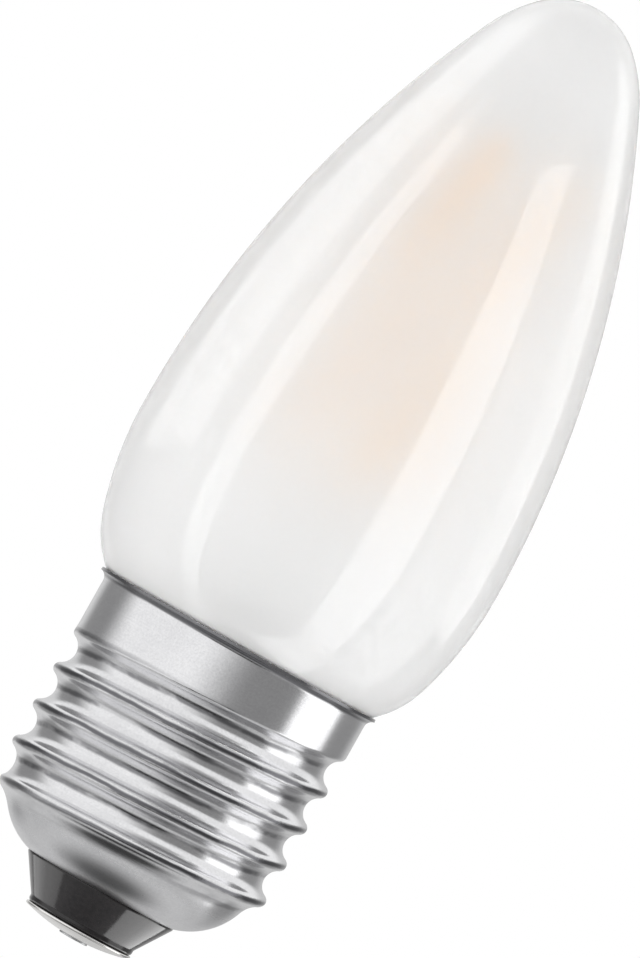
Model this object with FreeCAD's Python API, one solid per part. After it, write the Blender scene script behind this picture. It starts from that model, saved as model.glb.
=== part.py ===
import FreeCAD, Part

# Candle bulb: a clear glass candle shape with four upright light strips inside, on a
# screw cap rolled from thin sheet. Millimetres. +Z runs from the end contact to the tip,
# the origin is the middle of the contact's flat land, and -Y faces the viewer.
# A bearing is an angle in degrees from the front (-Y) towards +X.

import math
import os

from FreeCAD import Rotation, Vector

UP = Vector(0, 0, 1)
ORIGIN = Vector(0, 0, 0)

# Pieces that are moulded, cast, welded or soldered against a neighbour stop this far from it
SEAT = 0.02

# Cap shell: sheet metal with a rolled right-hand round thread
SHEET = 0.25
INCH = 25.4
TURNS_PER_INCH = 7
PITCH = INCH / TURNS_PER_INCH
CREST_R = 13.1
THREAD_DEPTH = 1.15
ROOT_R = CREST_R - THREAD_DEPTH
CREST_ROUND = 0.55
SKIRT_STEP = 0.08
SKIRT_R = CREST_R - SKIRT_STEP
SKIRT_BLEND = 2.0

# The shell's round bottom, from its hole up to where the wall stands upright
HOLE_Z = 4.85
HOLE_R = 6.6
BOWL_ROUND = 6.52
BOWL_Z = HOLE_Z + math.sqrt(BOWL_ROUND**2 - (HOLE_R - ROOT_R + BOWL_ROUND) ** 2)

# Heights of the thread, which fades in on the bottom and out under the skirt
THREAD_FOOT = 0.55
THREAD_FROM_Z = HOLE_Z + THREAD_FOOT
FADE_IN = 2.8
FADE_IN_FROM = THREAD_FROM_Z + PITCH / 2
FADE_IN_TO = FADE_IN_FROM + FADE_IN
CREST_LEAD = 0.4
CREST_START_Z = BOWL_Z - CREST_LEAD
THREAD_TURNS = 3.5
FADE_OUT_FROM = CREST_START_Z + THREAD_TURNS * PITCH
FADE_OUT = 1.64
FADE_OUT_TO = FADE_OUT_FROM + FADE_OUT
THREAD_TO_Z = FADE_OUT_TO + PITCH / 2

# Flared lip
SKIRT_HEIGHT = 1.48
LIP_Z = THREAD_TO_Z + SKIRT_HEIGHT
LIP_ROUND = 0.75
LIP_TURN = 80.0

# Rings of points that the shell's smooth faces pass through
COLUMNS = 24
ROWS_PER_TURN = 12
BOWL_ROWS, SKIRT_ROWS, LIP_ROWS = 4, 5, 4
SEW_REACH = 0.002
NORMAL_STEP = 1e-4

# End contact and the solder that gives it a flat land
LAND_R = 1.3
LAND_HEIGHT = 0.1
CONTACT_SHEET = 0.3
CONTACT_RISE = 0.7
CONTACT_HOLE_R = 0.7
FOOT_INSET = 1.5
FOOT_MARGIN = 0.04
INSULATOR_FOOT_R = HOLE_R - FOOT_INSET
CONTACT_R = INSULATOR_FOOT_R - FOOT_MARGIN

# Insulator of black glass
FOOT_LIFT = 0.2
INSULATOR_FOOT_Z = LAND_HEIGHT + CONTACT_RISE + CONTACT_SHEET + FOOT_LIFT
INSULATOR_LAND = 0.35
SHOULDER_LAP = 0.6
INSULATOR_TOP_R = HOLE_R + SHOULDER_LAP
FLANGE_INSET = 2.35
INSULATOR_FLANGE_R = ROOT_R - FLANGE_INSET
INSULATOR_HOLE_R = 1.6
INSULATOR_WELL_R = 3.0
WELL_RISE = 0.55
INSULATOR_WELL_Z = HOLE_Z + WELL_RISE

# Driver board and its insulating sleeve
SLEEVE_GAP = 0.4
SLEEVE_R = ROOT_R - SHEET - SLEEVE_GAP
SLEEVE_WALL = 0.5
SLEEVE_SINK = 1.96
SLEEVE_FROM_Z = BOWL_Z - SLEEVE_SINK
SLEEVE_HEIGHT = 8.0
SLEEVE_TO_Z = SLEEVE_FROM_Z + SLEEVE_HEIGHT
SLEEVE_CHAMFER = 0.3
LEDGE_WIDTH, LEDGE_HEIGHT = 1.0, 1.0
LEDGE_R = SLEEVE_R - SLEEVE_WALL - LEDGE_WIDTH
SLOT_WIDTH, SLOT_DEPTH = 0.8, 2.5
BOARD_RISE = 2.7
BOARD_Z = SLEEVE_FROM_Z + BOARD_RISE
BOARD_THICK = 1.0
BOARD_TOP_Z = BOARD_Z + BOARD_THICK
BOARD_PLAY = 0.2
HOLE_PLAY = 0.1

# Wires between the board and the cap
LIVE_RISE = 1.2
LIVE_TOP_Z = INSULATOR_WELL_Z + LIVE_RISE
LIVE_LIFT = 0.1
LIVE_FOOT_Z = LAND_HEIGHT + LIVE_LIFT
NEUTRAL_R = 0.15
NEUTRAL_PLAY = 0.05
NEUTRAL_BEND = 0.6
NEUTRAL_INSET = 0.4
NEUTRAL_BOARD_R = LEDGE_R - NEUTRAL_INSET
NEUTRAL_DROP = 0.2
NEUTRAL_STEP = 1.4
NEUTRAL_KICK = 1.6
NEUTRAL_TAIL = 1.0
NEUTRAL_BEARING = 180.0

# Glass bulb: tangent arcs, up and down from the widest ring. The neck stands in the cap
# with room for the wire beside it, and the glass passes the lip with the rim gap.
GLASS_R = 17.55
GLASS_WALL = 0.8
UPPER_R = 99.0
UPPER_TURN = 25.9
SHOULDER_R = 14.2
SHOULDER_TURN = 45.8
LOWER_R = 32.5
LOWER_TURN = 18.0
KNUCKLE_R = 9.5
NECK_ROUND = 4.84
RIM_GAP = 0.5
NECK_R = ROOT_R - SHEET - 2 * (NEUTRAL_R + NEUTRAL_PLAY)
NECK_FOOT_GAP = 0.3
NECK_FOOT_Z = SLEEVE_TO_Z + NECK_FOOT_GAP
NECK_X = NECK_R + NECK_ROUND
NECK_Z = LIP_Z - math.sqrt(NECK_ROUND**2 - (NECK_X - (SKIRT_R - SHEET - RIM_GAP)) ** 2)
KNUCKLE_X = GLASS_R - LOWER_R + (LOWER_R - KNUCKLE_R) * math.cos(math.radians(LOWER_TURN))
KNUCKLE_TURN = math.degrees(math.acos((NECK_X - KNUCKLE_X) / (NECK_ROUND + KNUCKLE_R)))
KNUCKLE_Z = NECK_Z + (NECK_ROUND + KNUCKLE_R) * math.sin(math.radians(KNUCKLE_TURN))
BELLY_Z = KNUCKLE_Z + (LOWER_R - KNUCKLE_R) * math.sin(math.radians(LOWER_TURN))

# Basing cement, between the skirt and the glass
CEMENT_SINK = 0.2
CEMENT_DEPTH = 1.7
CEMENT_TO_Z = LIP_Z - CEMENT_SINK
CEMENT_FROM_Z = CEMENT_TO_Z - CEMENT_DEPTH

# Glass stem: flare, tube and flat press
FLARE_THICK = 1.0
FLARE_HEIGHT = 6.9
FLARE_TOP_Z = NECK_FOOT_Z + FLARE_HEIGHT
FLARE_MIDDLE_OUT, FLARE_MIDDLE_UP = 0.28, 0.3
STEM_R = 3.7
STEM_WALL = 0.8
PRESS_DROP = 5.2
PRESS_HEIGHT = 5.5
PRESS_TO_Z = BELLY_Z - PRESS_DROP
PRESS_FROM_Z = PRESS_TO_Z - PRESS_HEIGHT
PRESS_WIDTH, PRESS_THICK = 8.4, 3.2
STEM_SHOULDER = 3.0
STEM_TUBE_TOP_Z = PRESS_FROM_Z - STEM_SHOULDER
BORE_RISE = 1.5
BORE_TOP_Z = STEM_TUBE_TOP_Z + BORE_RISE
VENT_RISE = 0.2
VENT_Z = PRESS_FROM_Z + VENT_RISE
VENT_R = 0.6
EXHAUST_R = 1.5
EXHAUST_WALL = 0.4
EXHAUST_CLEARANCE = 1.5
EXHAUST_TIP_Z = BOARD_TOP_Z + EXHAUST_CLEARANCE
EXHAUST_TIP_WALL = 0.6
EXHAUST_TAPER = 1.7

# Glass rod that carries the top ends
ROD_R = 1.2
ROD_FOOT_R = 1.6
ROD_FOOT_HEIGHT = 1.5
BUTTON_R = 1.9
BUTTON_DOWN, BUTTON_UP = 1.2, 1.3

# Light strips: a phosphor coat over a metal strip whose tabs stand out at both ends
STRIPS = 4
COAT_RISE = 2.8
COAT_FROM_Z = BELLY_Z + COAT_RISE
TIP_ROOM = 13.84
HEAD_GAP = 3.84
COAT_WIDTH, COAT_THICK, COAT_ROUND = 1.9, 1.5, 0.6
STRIP_WIDTH, STRIP_THICK = 1.0, 0.4
TAB = 2.5
FIRST_FOOT_BEARING = -75.0
TWIST = 63.0

# Wires inside the bulb
WIRE_R = 0.3
WIRE_BEND = 0.9
WIRE_GAP = 0.3
LEAD_OFFSET = ROD_FOOT_R + WIRE_GAP + WIRE_R
LEAD_STEP_RISE = 1.5
LEAD_STEP_Z = PRESS_TO_Z + LEAD_STEP_RISE
LEAD_STEP_HEIGHT = 2.0
LEAD_TAIL = 0.8
KNEE_R = 0.9
WELD_DROP = 0.12

# Parts on the board. They stand on a ring between the resistor on the axis and the ledge.
RESISTOR_R, RESISTOR_LENGTH = 1.1, 3.6
RESISTOR_EDGE, RESISTOR_END, RESISTOR_WAIST = 0.3, 0.9, 0.17
PART_RING_R = (LEDGE_R + RESISTOR_R) / 2
CAPACITOR_R, CAPACITOR_HEIGHT = 3.15, 4.4
CAN_EDGE = 0.3
CRIMP_FROM, CRIMP_HEIGHT, CRIMP_DEPTH = 0.7, 0.5, 0.38
CAPACITOR_TURN = -55.0
CHOKE_R, CHOKE_HEIGHT = 2.75, 4.2
CHOKE_HUB_R, CHOKE_FLANGE = 1.2, 0.6
WINDING_INSET, WINDING_CROWN = 0.33, 0.15
CHOKE_TURN = 125.0

# Moulded packages on top of the board and their bent leads
RECTIFIER_LENGTH, RECTIFIER_WIDTH, RECTIFIER_HEIGHT = 4.7, 3.9, 1.6
RECTIFIER_LEAD, RECTIFIER_LEAD_COUNT = 0.7, 2
RECTIFIER_TURN = -112.0
CHIP_LENGTH, CHIP_WIDTH, CHIP_HEIGHT = 4.9, 3.9, 1.5
CHIP_LEAD, CHIP_LEAD_COUNT = 0.4, 4
CHIP_TURN = 90.0
PACKAGE_MARGIN = 1.0
PACKAGE_LIFT = 0.1
PACKAGE_BEVEL = 0.3
GULL_REACH, GULL_THICK = 1.0, 0.2
GULL_TOP, GULL_SOLE, GULL_UNDER = 0.4, 0.55, 0.28


def at_bearing(radius, bearing, z):
    """Point at a distance from the axis, on a bearing from the front."""
    angle = math.radians(bearing)
    return Vector(radius * math.sin(angle), -radius * math.cos(angle), z)


def profile_point(r, z):
    return Vector(r, 0, z)


def on_circle(centre, radius, degrees):
    """Point of the XZ plane on a circle, by the angle of its radius above the level."""
    angle = math.radians(degrees)
    return centre + Vector(radius * math.cos(angle), 0, radius * math.sin(angle))


def arc_edge(centre, radius, start, end):
    """Arc in the XZ plane between two angles of its radius."""
    middle = (start + end) / 2
    points = [on_circle(centre, radius, degrees) for degrees in (start, middle, end)]
    return Part.Arc(*points).toShape()


def level_angle(centre, point):
    """Angle above the level of the radius that reaches a point of the XZ plane."""
    return math.degrees(math.atan2(point.z - centre.z, point.x - centre.x))


def closed_profile(edges):
    """Joins edges given in order, with straight lines across what is open."""
    joined = []
    for edge, follower in zip(edges, edges[1:] + edges[:1]):
        joined.append(edge)
        end, start = edge.lastVertex(True).Point, follower.firstVertex(True).Point
        if end.distanceToPoint(start) > 1e-6:
            joined.append(Part.makeLine(end, start))
    return Part.Face(Part.Wire(joined))


def line_chain(*points):
    """Straight edges through (r, z) pairs."""
    vectors = [profile_point(*point) for point in points]
    return [Part.makeLine(a, b) for a, b in zip(vectors, vectors[1:])]


def turned(edges):
    """Solid of revolution about the axis from a closed profile."""
    return closed_profile(edges).revolve(ORIGIN, UP, 360)


def turned_lines(*points):
    return turned(line_chain(*points, points[0]))


def bent_wire(points, radius, bend):
    """Round wire along straight runs that are joined by tangent arcs."""
    edges = []
    start = points[0]
    for before, corner, after in zip(points, points[1:], points[2:]):
        back = (before - corner).normalize()
        ahead = (after - corner).normalize()
        half = back.getAngle(ahead) / 2
        reach = bend / math.tan(half)
        middle = corner + (back + ahead).normalize() * (bend / math.sin(half) - bend)
        edges.append(Part.makeLine(start, corner + back * reach))
        edges.append(Part.Arc(corner + back * reach, middle, corner + ahead * reach).toShape())
        start = corner + ahead * reach
    edges.append(Part.makeLine(start, points[-1]))
    section = Part.Wire(Part.makeCircle(radius, points[0], points[1] - points[0]))
    return Part.Wire(edges).makePipeShell([section], True, False)


def glass_arcs():
    """Centre, radius and end angles of each arc of the outer glass, from neck to tip."""
    upper = profile_point(GLASS_R - UPPER_R, BELLY_Z)
    shoulder = on_circle(upper, UPPER_R - SHOULDER_R, UPPER_TURN)
    shoulder_end = on_circle(shoulder, SHOULDER_R, SHOULDER_TURN)
    tip_round = shoulder_end.x / math.cos(math.radians(SHOULDER_TURN))
    tip = on_circle(shoulder_end, -tip_round, SHOULDER_TURN)
    return [
        (profile_point(NECK_X, NECK_Z), -NECK_ROUND, 0.0, -KNUCKLE_TURN),
        (profile_point(KNUCKLE_X, KNUCKLE_Z), KNUCKLE_R, -KNUCKLE_TURN, -LOWER_TURN),
        (profile_point(GLASS_R - LOWER_R, BELLY_Z), LOWER_R, -LOWER_TURN, 0.0),
        (upper, UPPER_R, 0.0, UPPER_TURN),
        (shoulder, SHOULDER_R, UPPER_TURN, SHOULDER_TURN),
        (tip, tip_round, SHOULDER_TURN, 90.0),
    ]


def glass_outline(depth):
    """Edges of the glass outline, moved inwards by a depth, from the neck's foot to the tip."""
    arcs = [arc_edge(centre, radius - depth, start, end) for centre, radius, start, end in glass_arcs()]
    foot = profile_point(NECK_R - depth, NECK_FOOT_Z)
    return [Part.makeLine(foot, arcs[0].firstVertex(True).Point)] + arcs


def glass_envelope():
    outside = glass_outline(0)
    inside = glass_outline(GLASS_WALL)
    back = [reversed_edge(edge) for edge in reversed(inside)]
    return turned(outside + back)


def reversed_edge(edge):
    """The same line or arc drawn from its other end."""
    start, end = edge.firstVertex(True).Point, edge.lastVertex(True).Point
    if edge.Curve.TypeId == "Part::GeomLine":
        return Part.makeLine(end, start)
    first, last = edge.ParameterRange
    return Part.Arc(end, edge.valueAt((first + last) / 2), start).toShape()


def smooth_step(value, start, end):
    """0 before start, 1 after end, and level at both."""
    share = min(max((value - start) / (end - start), 0.0), 1.0)
    return share * share * (3 - 2 * share)


def thread_drop(distance):
    """Depth below the crest, as a share, at a height from it: two tangent arcs."""
    half = PITCH / 2
    root_round = (half**2 + (THREAD_DEPTH - CREST_ROUND) ** 2 - CREST_ROUND**2) / (2 * THREAD_DEPTH)
    meeting = CREST_ROUND * half / (CREST_ROUND + root_round)
    if distance < meeting:
        return (CREST_ROUND - math.sqrt(CREST_ROUND**2 - distance**2)) / THREAD_DEPTH
    return 1 - (root_round - math.sqrt(root_round**2 - (half - distance) ** 2)) / THREAD_DEPTH


def bowl_centre():
    return profile_point(ROOT_R - BOWL_ROUND, BOWL_Z)


def shell_radius(angle, z):
    """Outer radius of the rolled sheet at an angle about the axis and a height."""
    base = ROOT_R
    if z < BOWL_Z:
        base = bowl_centre().x + math.sqrt(BOWL_ROUND**2 - (BOWL_Z - z) ** 2)
    turn = angle / (2 * math.pi)
    phase = (z - CREST_START_Z) / PITCH - turn
    crest_z = z - (phase - round(phase)) * PITCH
    groove_z = z - (phase - math.floor(phase) - 0.5) * PITCH
    skirt_share = smooth_step(z, FADE_OUT_FROM - SKIRT_BLEND / 2, FADE_OUT_FROM + SKIRT_BLEND / 2)
    height = CREST_R + (SKIRT_R - CREST_R) * skirt_share - ROOT_R
    groove = thread_drop(abs(z - crest_z)) * (1 - smooth_step(groove_z, FADE_OUT_FROM, FADE_OUT_TO))
    return base + height * (1 - groove) * smooth_step(crest_z, FADE_IN_FROM, FADE_IN_TO)


def thread_point(angle, z, depth):
    """Point of the threaded sheet, moved inwards along its normal by a depth."""
    step = NORMAL_STEP
    r = shell_radius(angle, z)
    by_angle = (shell_radius(angle + step, z) - shell_radius(angle - step, z)) / (2 * step)
    by_z = (shell_radius(angle, z + step) - shell_radius(angle, z - step)) / (2 * step)
    cos, sin = math.cos(angle), math.sin(angle)
    normal = Vector(r * cos + by_angle * sin, r * sin - by_angle * cos, -r * by_z).normalize()
    return Vector(r * cos, r * sin, z) - normal * depth


def spread(start, end, steps):
    """Evenly spaced values after start, up to and with end."""
    return [start + (end - start) * step / steps for step in range(1, steps + 1)]


def bowl_angle_at_radius(radius, depth):
    """Angle on the bowl, moved inwards by a depth, where it has this radius."""
    return -math.degrees(math.acos((radius - bowl_centre().x) / (BOWL_ROUND - depth)))


def shell_arc(depth, start, end):
    return arc_edge(bowl_centre(), BOWL_ROUND - depth, start, end)


def shell_ring(station, depth):
    """Points round the shell at one station of its profile, moved inwards by a depth."""
    zone, place = station
    angles = [2 * math.pi * column / COLUMNS for column in range(COLUMNS)]
    if zone == "thread":
        return [thread_point(angle, place, depth) for angle in angles]
    if zone == "bowl":
        point = on_circle(bowl_centre(), BOWL_ROUND - depth, place)
    else:
        centre = profile_point(SKIRT_R + LIP_ROUND, LIP_Z)
        point = on_circle(centre, -(LIP_ROUND + depth), place)
    return [Vector(point.x * math.cos(angle), point.x * math.sin(angle), point.z) for angle in angles]


def shell_stations(depth):
    """Stations of the shell's profile from the hole to the lip, each with its zone."""
    hole = bowl_angle_at_radius(HOLE_R, depth)
    join = -math.degrees(math.asin((BOWL_Z - THREAD_FROM_Z) / BOWL_ROUND))
    rows = round((THREAD_TO_Z - THREAD_FROM_Z) / PITCH * ROWS_PER_TURN)
    stations = [("bowl", hole)] + [("bowl", angle) for angle in spread(hole, join, BOWL_ROWS)[:-1]]
    stations += [("thread", z) for z in [THREAD_FROM_Z] + spread(THREAD_FROM_Z, THREAD_TO_Z, rows)]
    stations += [("thread", z) for z in spread(THREAD_TO_Z, LIP_Z, SKIRT_ROWS)]
    return stations + [("lip", angle) for angle in spread(0, -LIP_TURN, LIP_ROWS)]


def shell_face(depth):
    """Closed smooth face through rings of points up the shell."""
    rings = []
    for station in shell_stations(depth):
        ring = Part.BSplineCurve()
        points = shell_ring(station, depth)
        ring.interpolate(Points=points, PeriodicFlag=True, Parameters=list(range(COLUMNS + 1)))
        rings.append(ring)
    poles = []
    for column in zip(*[ring.getPoles() for ring in rings]):
        rise = Part.BSplineCurve()
        rise.interpolate(Points=list(column), Parameters=list(range(len(rings))))
        poles.append(rise.getPoles())
    surface = Part.BSplineSurface()
    surface.buildFromPolesMultsKnots(
        poles,
        rings[0].getMultiplicities(),
        rise.getMultiplicities(),
        rings[0].getKnots(),
        rise.getKnots(),
        True,
        False,
        rings[0].Degree,
        rise.Degree,
    )
    return surface.toShape()


def closed_edges(face):
    return [edge for edge in face.Edges if edge.isClosed()]


def cap_shell():
    """Thin shell between two smooth faces, closed by a ring at the hole and one at the lip."""
    outer, inner = shell_face(0.0), shell_face(SHEET)
    faces = [outer, inner]
    for pick in (min, max):
        rims = [pick(closed_edges(face), key=lambda edge: edge.BoundBox.ZMax) for face in (outer, inner)]
        faces.append(Part.makeRuledSurface(*rims))
    skin = Part.makeCompound(faces)
    skin.sewShape(SEW_REACH)
    solid = Part.Solid(skin.Shells[0])
    if solid.Volume < 0:
        solid.reverse()
    return solid


def contact_circle():
    """Centre and radius of the plate's lower face in the XZ plane."""
    radius = (CONTACT_R**2 + CONTACT_RISE**2) / (2 * CONTACT_RISE)
    return profile_point(0, LAND_HEIGHT + radius), radius


def dome_angle(radius_here, sphere_radius):
    """Angle on the plate's dome, from the level, where it has this distance from the axis."""
    return -math.degrees(math.acos(radius_here / sphere_radius))


def centre_contact():
    centre, radius = contact_circle()
    rim = dome_angle(CONTACT_R, radius)
    lower = arc_edge(centre, radius, dome_angle(CONTACT_HOLE_R, radius), rim)
    top_radius = radius - CONTACT_SHEET
    upper = arc_edge(centre, top_radius, rim, dome_angle(CONTACT_HOLE_R, top_radius))
    rim_middle = on_circle(centre, radius - CONTACT_SHEET / 2, rim)
    round_edge = arc_edge(rim_middle, CONTACT_SHEET / 2, rim, rim + 180)
    return turned([lower, round_edge, upper])


def contact_solder():
    """Drop of solder that closes the plate's hole and gives the contact its flat land."""
    centre, radius = contact_circle()
    dome = radius + SEAT
    edge = on_circle(centre, dome, dome_angle(LAND_R + LAND_HEIGHT, dome))
    inner_r = CONTACT_HOLE_R - SEAT
    hole = on_circle(centre, dome, dome_angle(inner_r, dome))
    side = Part.Arc(profile_point(LAND_R, 0), on_circle(
        (profile_point(LAND_R, 0) + edge) * 0.5, LAND_HEIGHT / 3, -45), edge).toShape()
    seat = arc_edge(centre, dome, level_angle(centre, edge), level_angle(centre, hole))
    top = LAND_HEIGHT + CONTACT_SHEET + SEAT
    return turned([
        Part.makeLine(profile_point(0, 0), profile_point(LAND_R, 0)),
        side,
        seat,
        Part.makeLine(hole, profile_point(inner_r, top)),
    ] + line_chain(
        (inner_r, top),
        (WIRE_R + SEAT, top),
        (WIRE_R + SEAT, LIVE_FOOT_Z - SEAT),
        (0, LIVE_FOOT_Z - SEAT),
    ))


def cap_insulator():
    centre, radius = contact_circle()
    seat_radius = radius - CONTACT_SHEET - SEAT
    seat_r = CONTACT_R - CONTACT_SHEET / 2
    foot = arc_edge(centre, seat_radius, dome_angle(INSULATOR_HOLE_R, seat_radius),
                    dome_angle(seat_r, seat_radius))
    under = shell_arc(-SEAT, bowl_angle_at_radius(INSULATOR_TOP_R, -SEAT),
                      bowl_angle_at_radius(HOLE_R - SEAT, -SEAT))
    over = shell_arc(SHEET + SEAT, bowl_angle_at_radius(HOLE_R - SEAT, SHEET + SEAT),
                     bowl_angle_at_radius(INSULATOR_FLANGE_R, SHEET + SEAT))
    side = line_chain(
        (INSULATOR_FOOT_R, INSULATOR_FOOT_Z),
        (INSULATOR_FOOT_R, INSULATOR_FOOT_Z + INSULATOR_LAND),
        (INSULATOR_TOP_R, HOLE_Z),
    )
    well = line_chain((INSULATOR_WELL_R, INSULATOR_WELL_Z), (INSULATOR_HOLE_R, INSULATOR_WELL_Z))
    return turned([foot] + side + [under, over] + well)


def basing_cement(wire):
    inner_round = NECK_ROUND - SEAT
    angles = [math.degrees(math.asin((NECK_Z - z) / inner_round)) for z in (CEMENT_TO_Z, CEMENT_FROM_Z)]
    inside = arc_edge(profile_point(NECK_X, NECK_Z), -inner_round, *angles)
    outer_r = SKIRT_R - SHEET - SEAT
    outside = line_chain((outer_r, CEMENT_FROM_Z), (outer_r, CEMENT_TO_Z))
    return turned([inside] + outside).cut(wire)


def stadium(width, thick, z):
    """Outline with straight sides and round ends, at a height."""
    half, end = (width - thick) / 2, thick / 2
    corners = [Vector(-half, -end, z), Vector(half, -end, z), Vector(half, end, z), Vector(-half, end, z)]
    right = Part.Arc(corners[1], Vector(half + end, 0, z), corners[2]).toShape()
    left = Part.Arc(corners[3], Vector(-half - end, 0, z), corners[0]).toShape()
    return Part.Wire([
        Part.makeLine(corners[0], corners[1]), right, Part.makeLine(corners[2], corners[3]), left])


def glass_stem(bearing, wires):
    """Flare, tube and press in one, with the wires sealed through the press."""
    rim_r = NECK_R - GLASS_WALL
    bore_r = STEM_R - STEM_WALL
    rim_top_z = NECK_FOOT_Z + FLARE_THICK
    middle_r = STEM_R + (rim_r - STEM_R) * FLARE_MIDDLE_OUT
    middle_z = rim_top_z + (FLARE_TOP_Z - rim_top_z) * FLARE_MIDDLE_UP
    over = Part.Arc(profile_point(rim_r, rim_top_z), profile_point(middle_r, middle_z),
                    profile_point(STEM_R, FLARE_TOP_Z)).toShape()
    under = Part.Arc(profile_point(bore_r, FLARE_TOP_Z - FLARE_THICK / 2),
                     profile_point(middle_r - STEM_WALL, middle_z - FLARE_THICK),
                     profile_point(rim_r, NECK_FOOT_Z)).toShape()
    flare = turned([over] + line_chain((STEM_R, STEM_TUBE_TOP_Z), (bore_r, STEM_TUBE_TOP_Z)) + [under])
    ring = Part.Wire(Part.makeCircle(STEM_R, Vector(0, 0, STEM_TUBE_TOP_Z)))
    shoulder = Part.makeLoft([ring, stadium(PRESS_WIDTH, PRESS_THICK, PRESS_FROM_Z)], True)
    press = Part.Face(stadium(PRESS_WIDTH, PRESS_THICK, PRESS_FROM_Z)).extrude(
        UP * (PRESS_TO_Z - PRESS_FROM_Z))
    stem = flare.fuse([shoulder, press]).removeSplitter()
    bore = Part.makeCylinder(bore_r, BORE_TOP_Z - STEM_TUBE_TOP_Z, Vector(0, 0, STEM_TUBE_TOP_Z))
    vent_r = EXHAUST_R - EXHAUST_WALL
    vent = Part.makeCylinder(vent_r, VENT_Z - BORE_TOP_Z, Vector(0, 0, BORE_TOP_Z))
    side_vent = Part.makeCylinder(VENT_R, STEM_R * 2, Vector(0, -STEM_R, VENT_Z), Vector(0, 1, 0))
    stem = stem.cut(Part.makeCompound([bore, vent.fuse(side_vent)]))
    stem.rotate(ORIGIN, UP, bearing - 90)
    return stem.cut(Part.makeCompound(wires))


def exhaust_tube():
    bore_r = EXHAUST_R - EXHAUST_WALL
    top_z = BORE_TOP_Z - SEAT
    shoulder_z = EXHAUST_TIP_Z + EXHAUST_TAPER
    inner_tip_z = EXHAUST_TIP_Z + EXHAUST_TIP_WALL
    bulge = math.sqrt(0.5)
    outer_middle = profile_point(EXHAUST_R * bulge, shoulder_z - EXHAUST_TAPER * bulge)
    inner_middle = profile_point(bore_r * bulge, shoulder_z - (shoulder_z - inner_tip_z) * bulge)
    outer = Part.Arc(profile_point(0, EXHAUST_TIP_Z), outer_middle,
                     profile_point(EXHAUST_R, shoulder_z)).toShape()
    inner = Part.Arc(profile_point(bore_r, shoulder_z), inner_middle,
                     profile_point(0, inner_tip_z)).toShape()
    return turned([outer] + line_chain((EXHAUST_R, top_z), (bore_r, top_z)) + [inner])


def coat_top_z():
    tip, tip_round, start, end = glass_arcs()[-1]
    return tip.z + tip_round - TIP_ROOM


def coat_ring_r():
    """Distance of the strips' ends from the axis, which leaves the head gap to the glass."""
    outer_r = GLASS_R - UPPER_R + math.sqrt(UPPER_R**2 - (coat_top_z() - BELLY_Z) ** 2)
    return outer_r - GLASS_WALL - HEAD_GAP


def coat_axis(index):
    """Lower end of a strip's coat and the run to its upper end."""
    bearing = FIRST_FOOT_BEARING + index * 360 / STRIPS
    foot = at_bearing(coat_ring_r(), bearing, COAT_FROM_Z)
    head = at_bearing(coat_ring_r(), bearing + TWIST, coat_top_z())
    return foot, head - foot


def along_strip(shape, index, start):
    """Lays a shape that was drawn up the axis along a strip, broad side outwards."""
    foot, run = coat_axis(index)
    direction = run.normalize()
    outwards = foot + direction * ((coat_top_z() - COAT_FROM_Z) / 2)
    turn = Rotation(Vector(), Vector(outwards.x, outwards.y, 0), direction, "ZYX")
    shape.Placement = FreeCAD.Placement(foot + direction * start, turn)
    return shape


def rounded_bar(width, thick, corner, length):
    bar = Part.makeBox(width, thick, length, Vector(-width / 2, -thick / 2, 0))
    upright = [edge for edge in bar.Edges if abs(edge.tangentAt(edge.FirstParameter).z) > 0.5]
    return bar.makeFillet(corner, upright)


def plain_bar(width, thick, length):
    return Part.makeBox(width, thick, length, Vector(-width / 2, -thick / 2, 0))


def coat_length():
    return coat_axis(0)[1].Length


def light_strip_coat(index):
    length = coat_length()
    coat = rounded_bar(COAT_WIDTH, COAT_THICK, COAT_ROUND, length)
    channel = plain_bar(STRIP_WIDTH + 2 * SEAT, STRIP_THICK + 2 * SEAT, length)
    return along_strip(coat.cut(channel), index, 0.0)


def light_strip_metal(index):
    return along_strip(plain_bar(STRIP_WIDTH, STRIP_THICK, coat_length() + 2 * TAB), index, -TAB)


def tab_end(index, top):
    """Middle of a tab's free end."""
    foot, run = coat_axis(index)
    direction = run * (1 / run.Length)
    return foot + direction * (coat_length() + TAB) if top else foot - direction * TAB


def foot_bridge_ends(side):
    """Ends of the wire that joins two neighbouring strips at their feet."""
    drop = UP * (WELD_DROP + WIRE_R)
    return [tab_end(2 * side + step, False) - drop for step in (0, 1)]


def foot_bridge(side):
    start, end = foot_bridge_ends(side)
    over = (end - start).normalize() * STRIP_WIDTH / 2
    return Part.makeCylinder(WIRE_R, (end - start).Length + STRIP_WIDTH, start - over, end - start)


def lead_bearing(side):
    """Bearing of the foot bridge's middle, where its lead-in wire stands."""
    start, end = foot_bridge_ends(side)
    middle = (start + end) * 0.5
    return math.degrees(math.atan2(middle.x, -middle.y))


def lead_wire(side):
    start, end = foot_bridge_ends(side)
    middle = (start + end) * 0.5
    reach = math.hypot(middle.x, middle.y)
    bearing = lead_bearing(side)
    route = [
        (LEAD_OFFSET, BOARD_Z - LEAD_TAIL),
        (LEAD_OFFSET, LEAD_STEP_Z),
        (reach, LEAD_STEP_Z + LEAD_STEP_HEIGHT),
        (reach, middle.z - WIRE_R - SEAT),
    ]
    return bent_wire([at_bearing(r, bearing, z) for r, z in route], WIRE_R, WIRE_BEND)


def link_z():
    return tab_end(0, True).z + WELD_DROP + WIRE_R


def head_link(side):
    """Wire through the rod's button that joins two neighbouring strips at their heads."""
    ends = []
    for index in (2 * side + 1, (2 * side + 2) % STRIPS):
        tab = tab_end(index, True)
        ends.append(Vector(tab.x, tab.y, link_z()))
    middle = (ends[0] + ends[1]) * 0.5
    middle.z = 0
    knee = middle.normalize() * KNEE_R + UP * link_z()
    return bent_wire([ends[0], knee, ends[1]], WIRE_R, WIRE_BEND)


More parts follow.
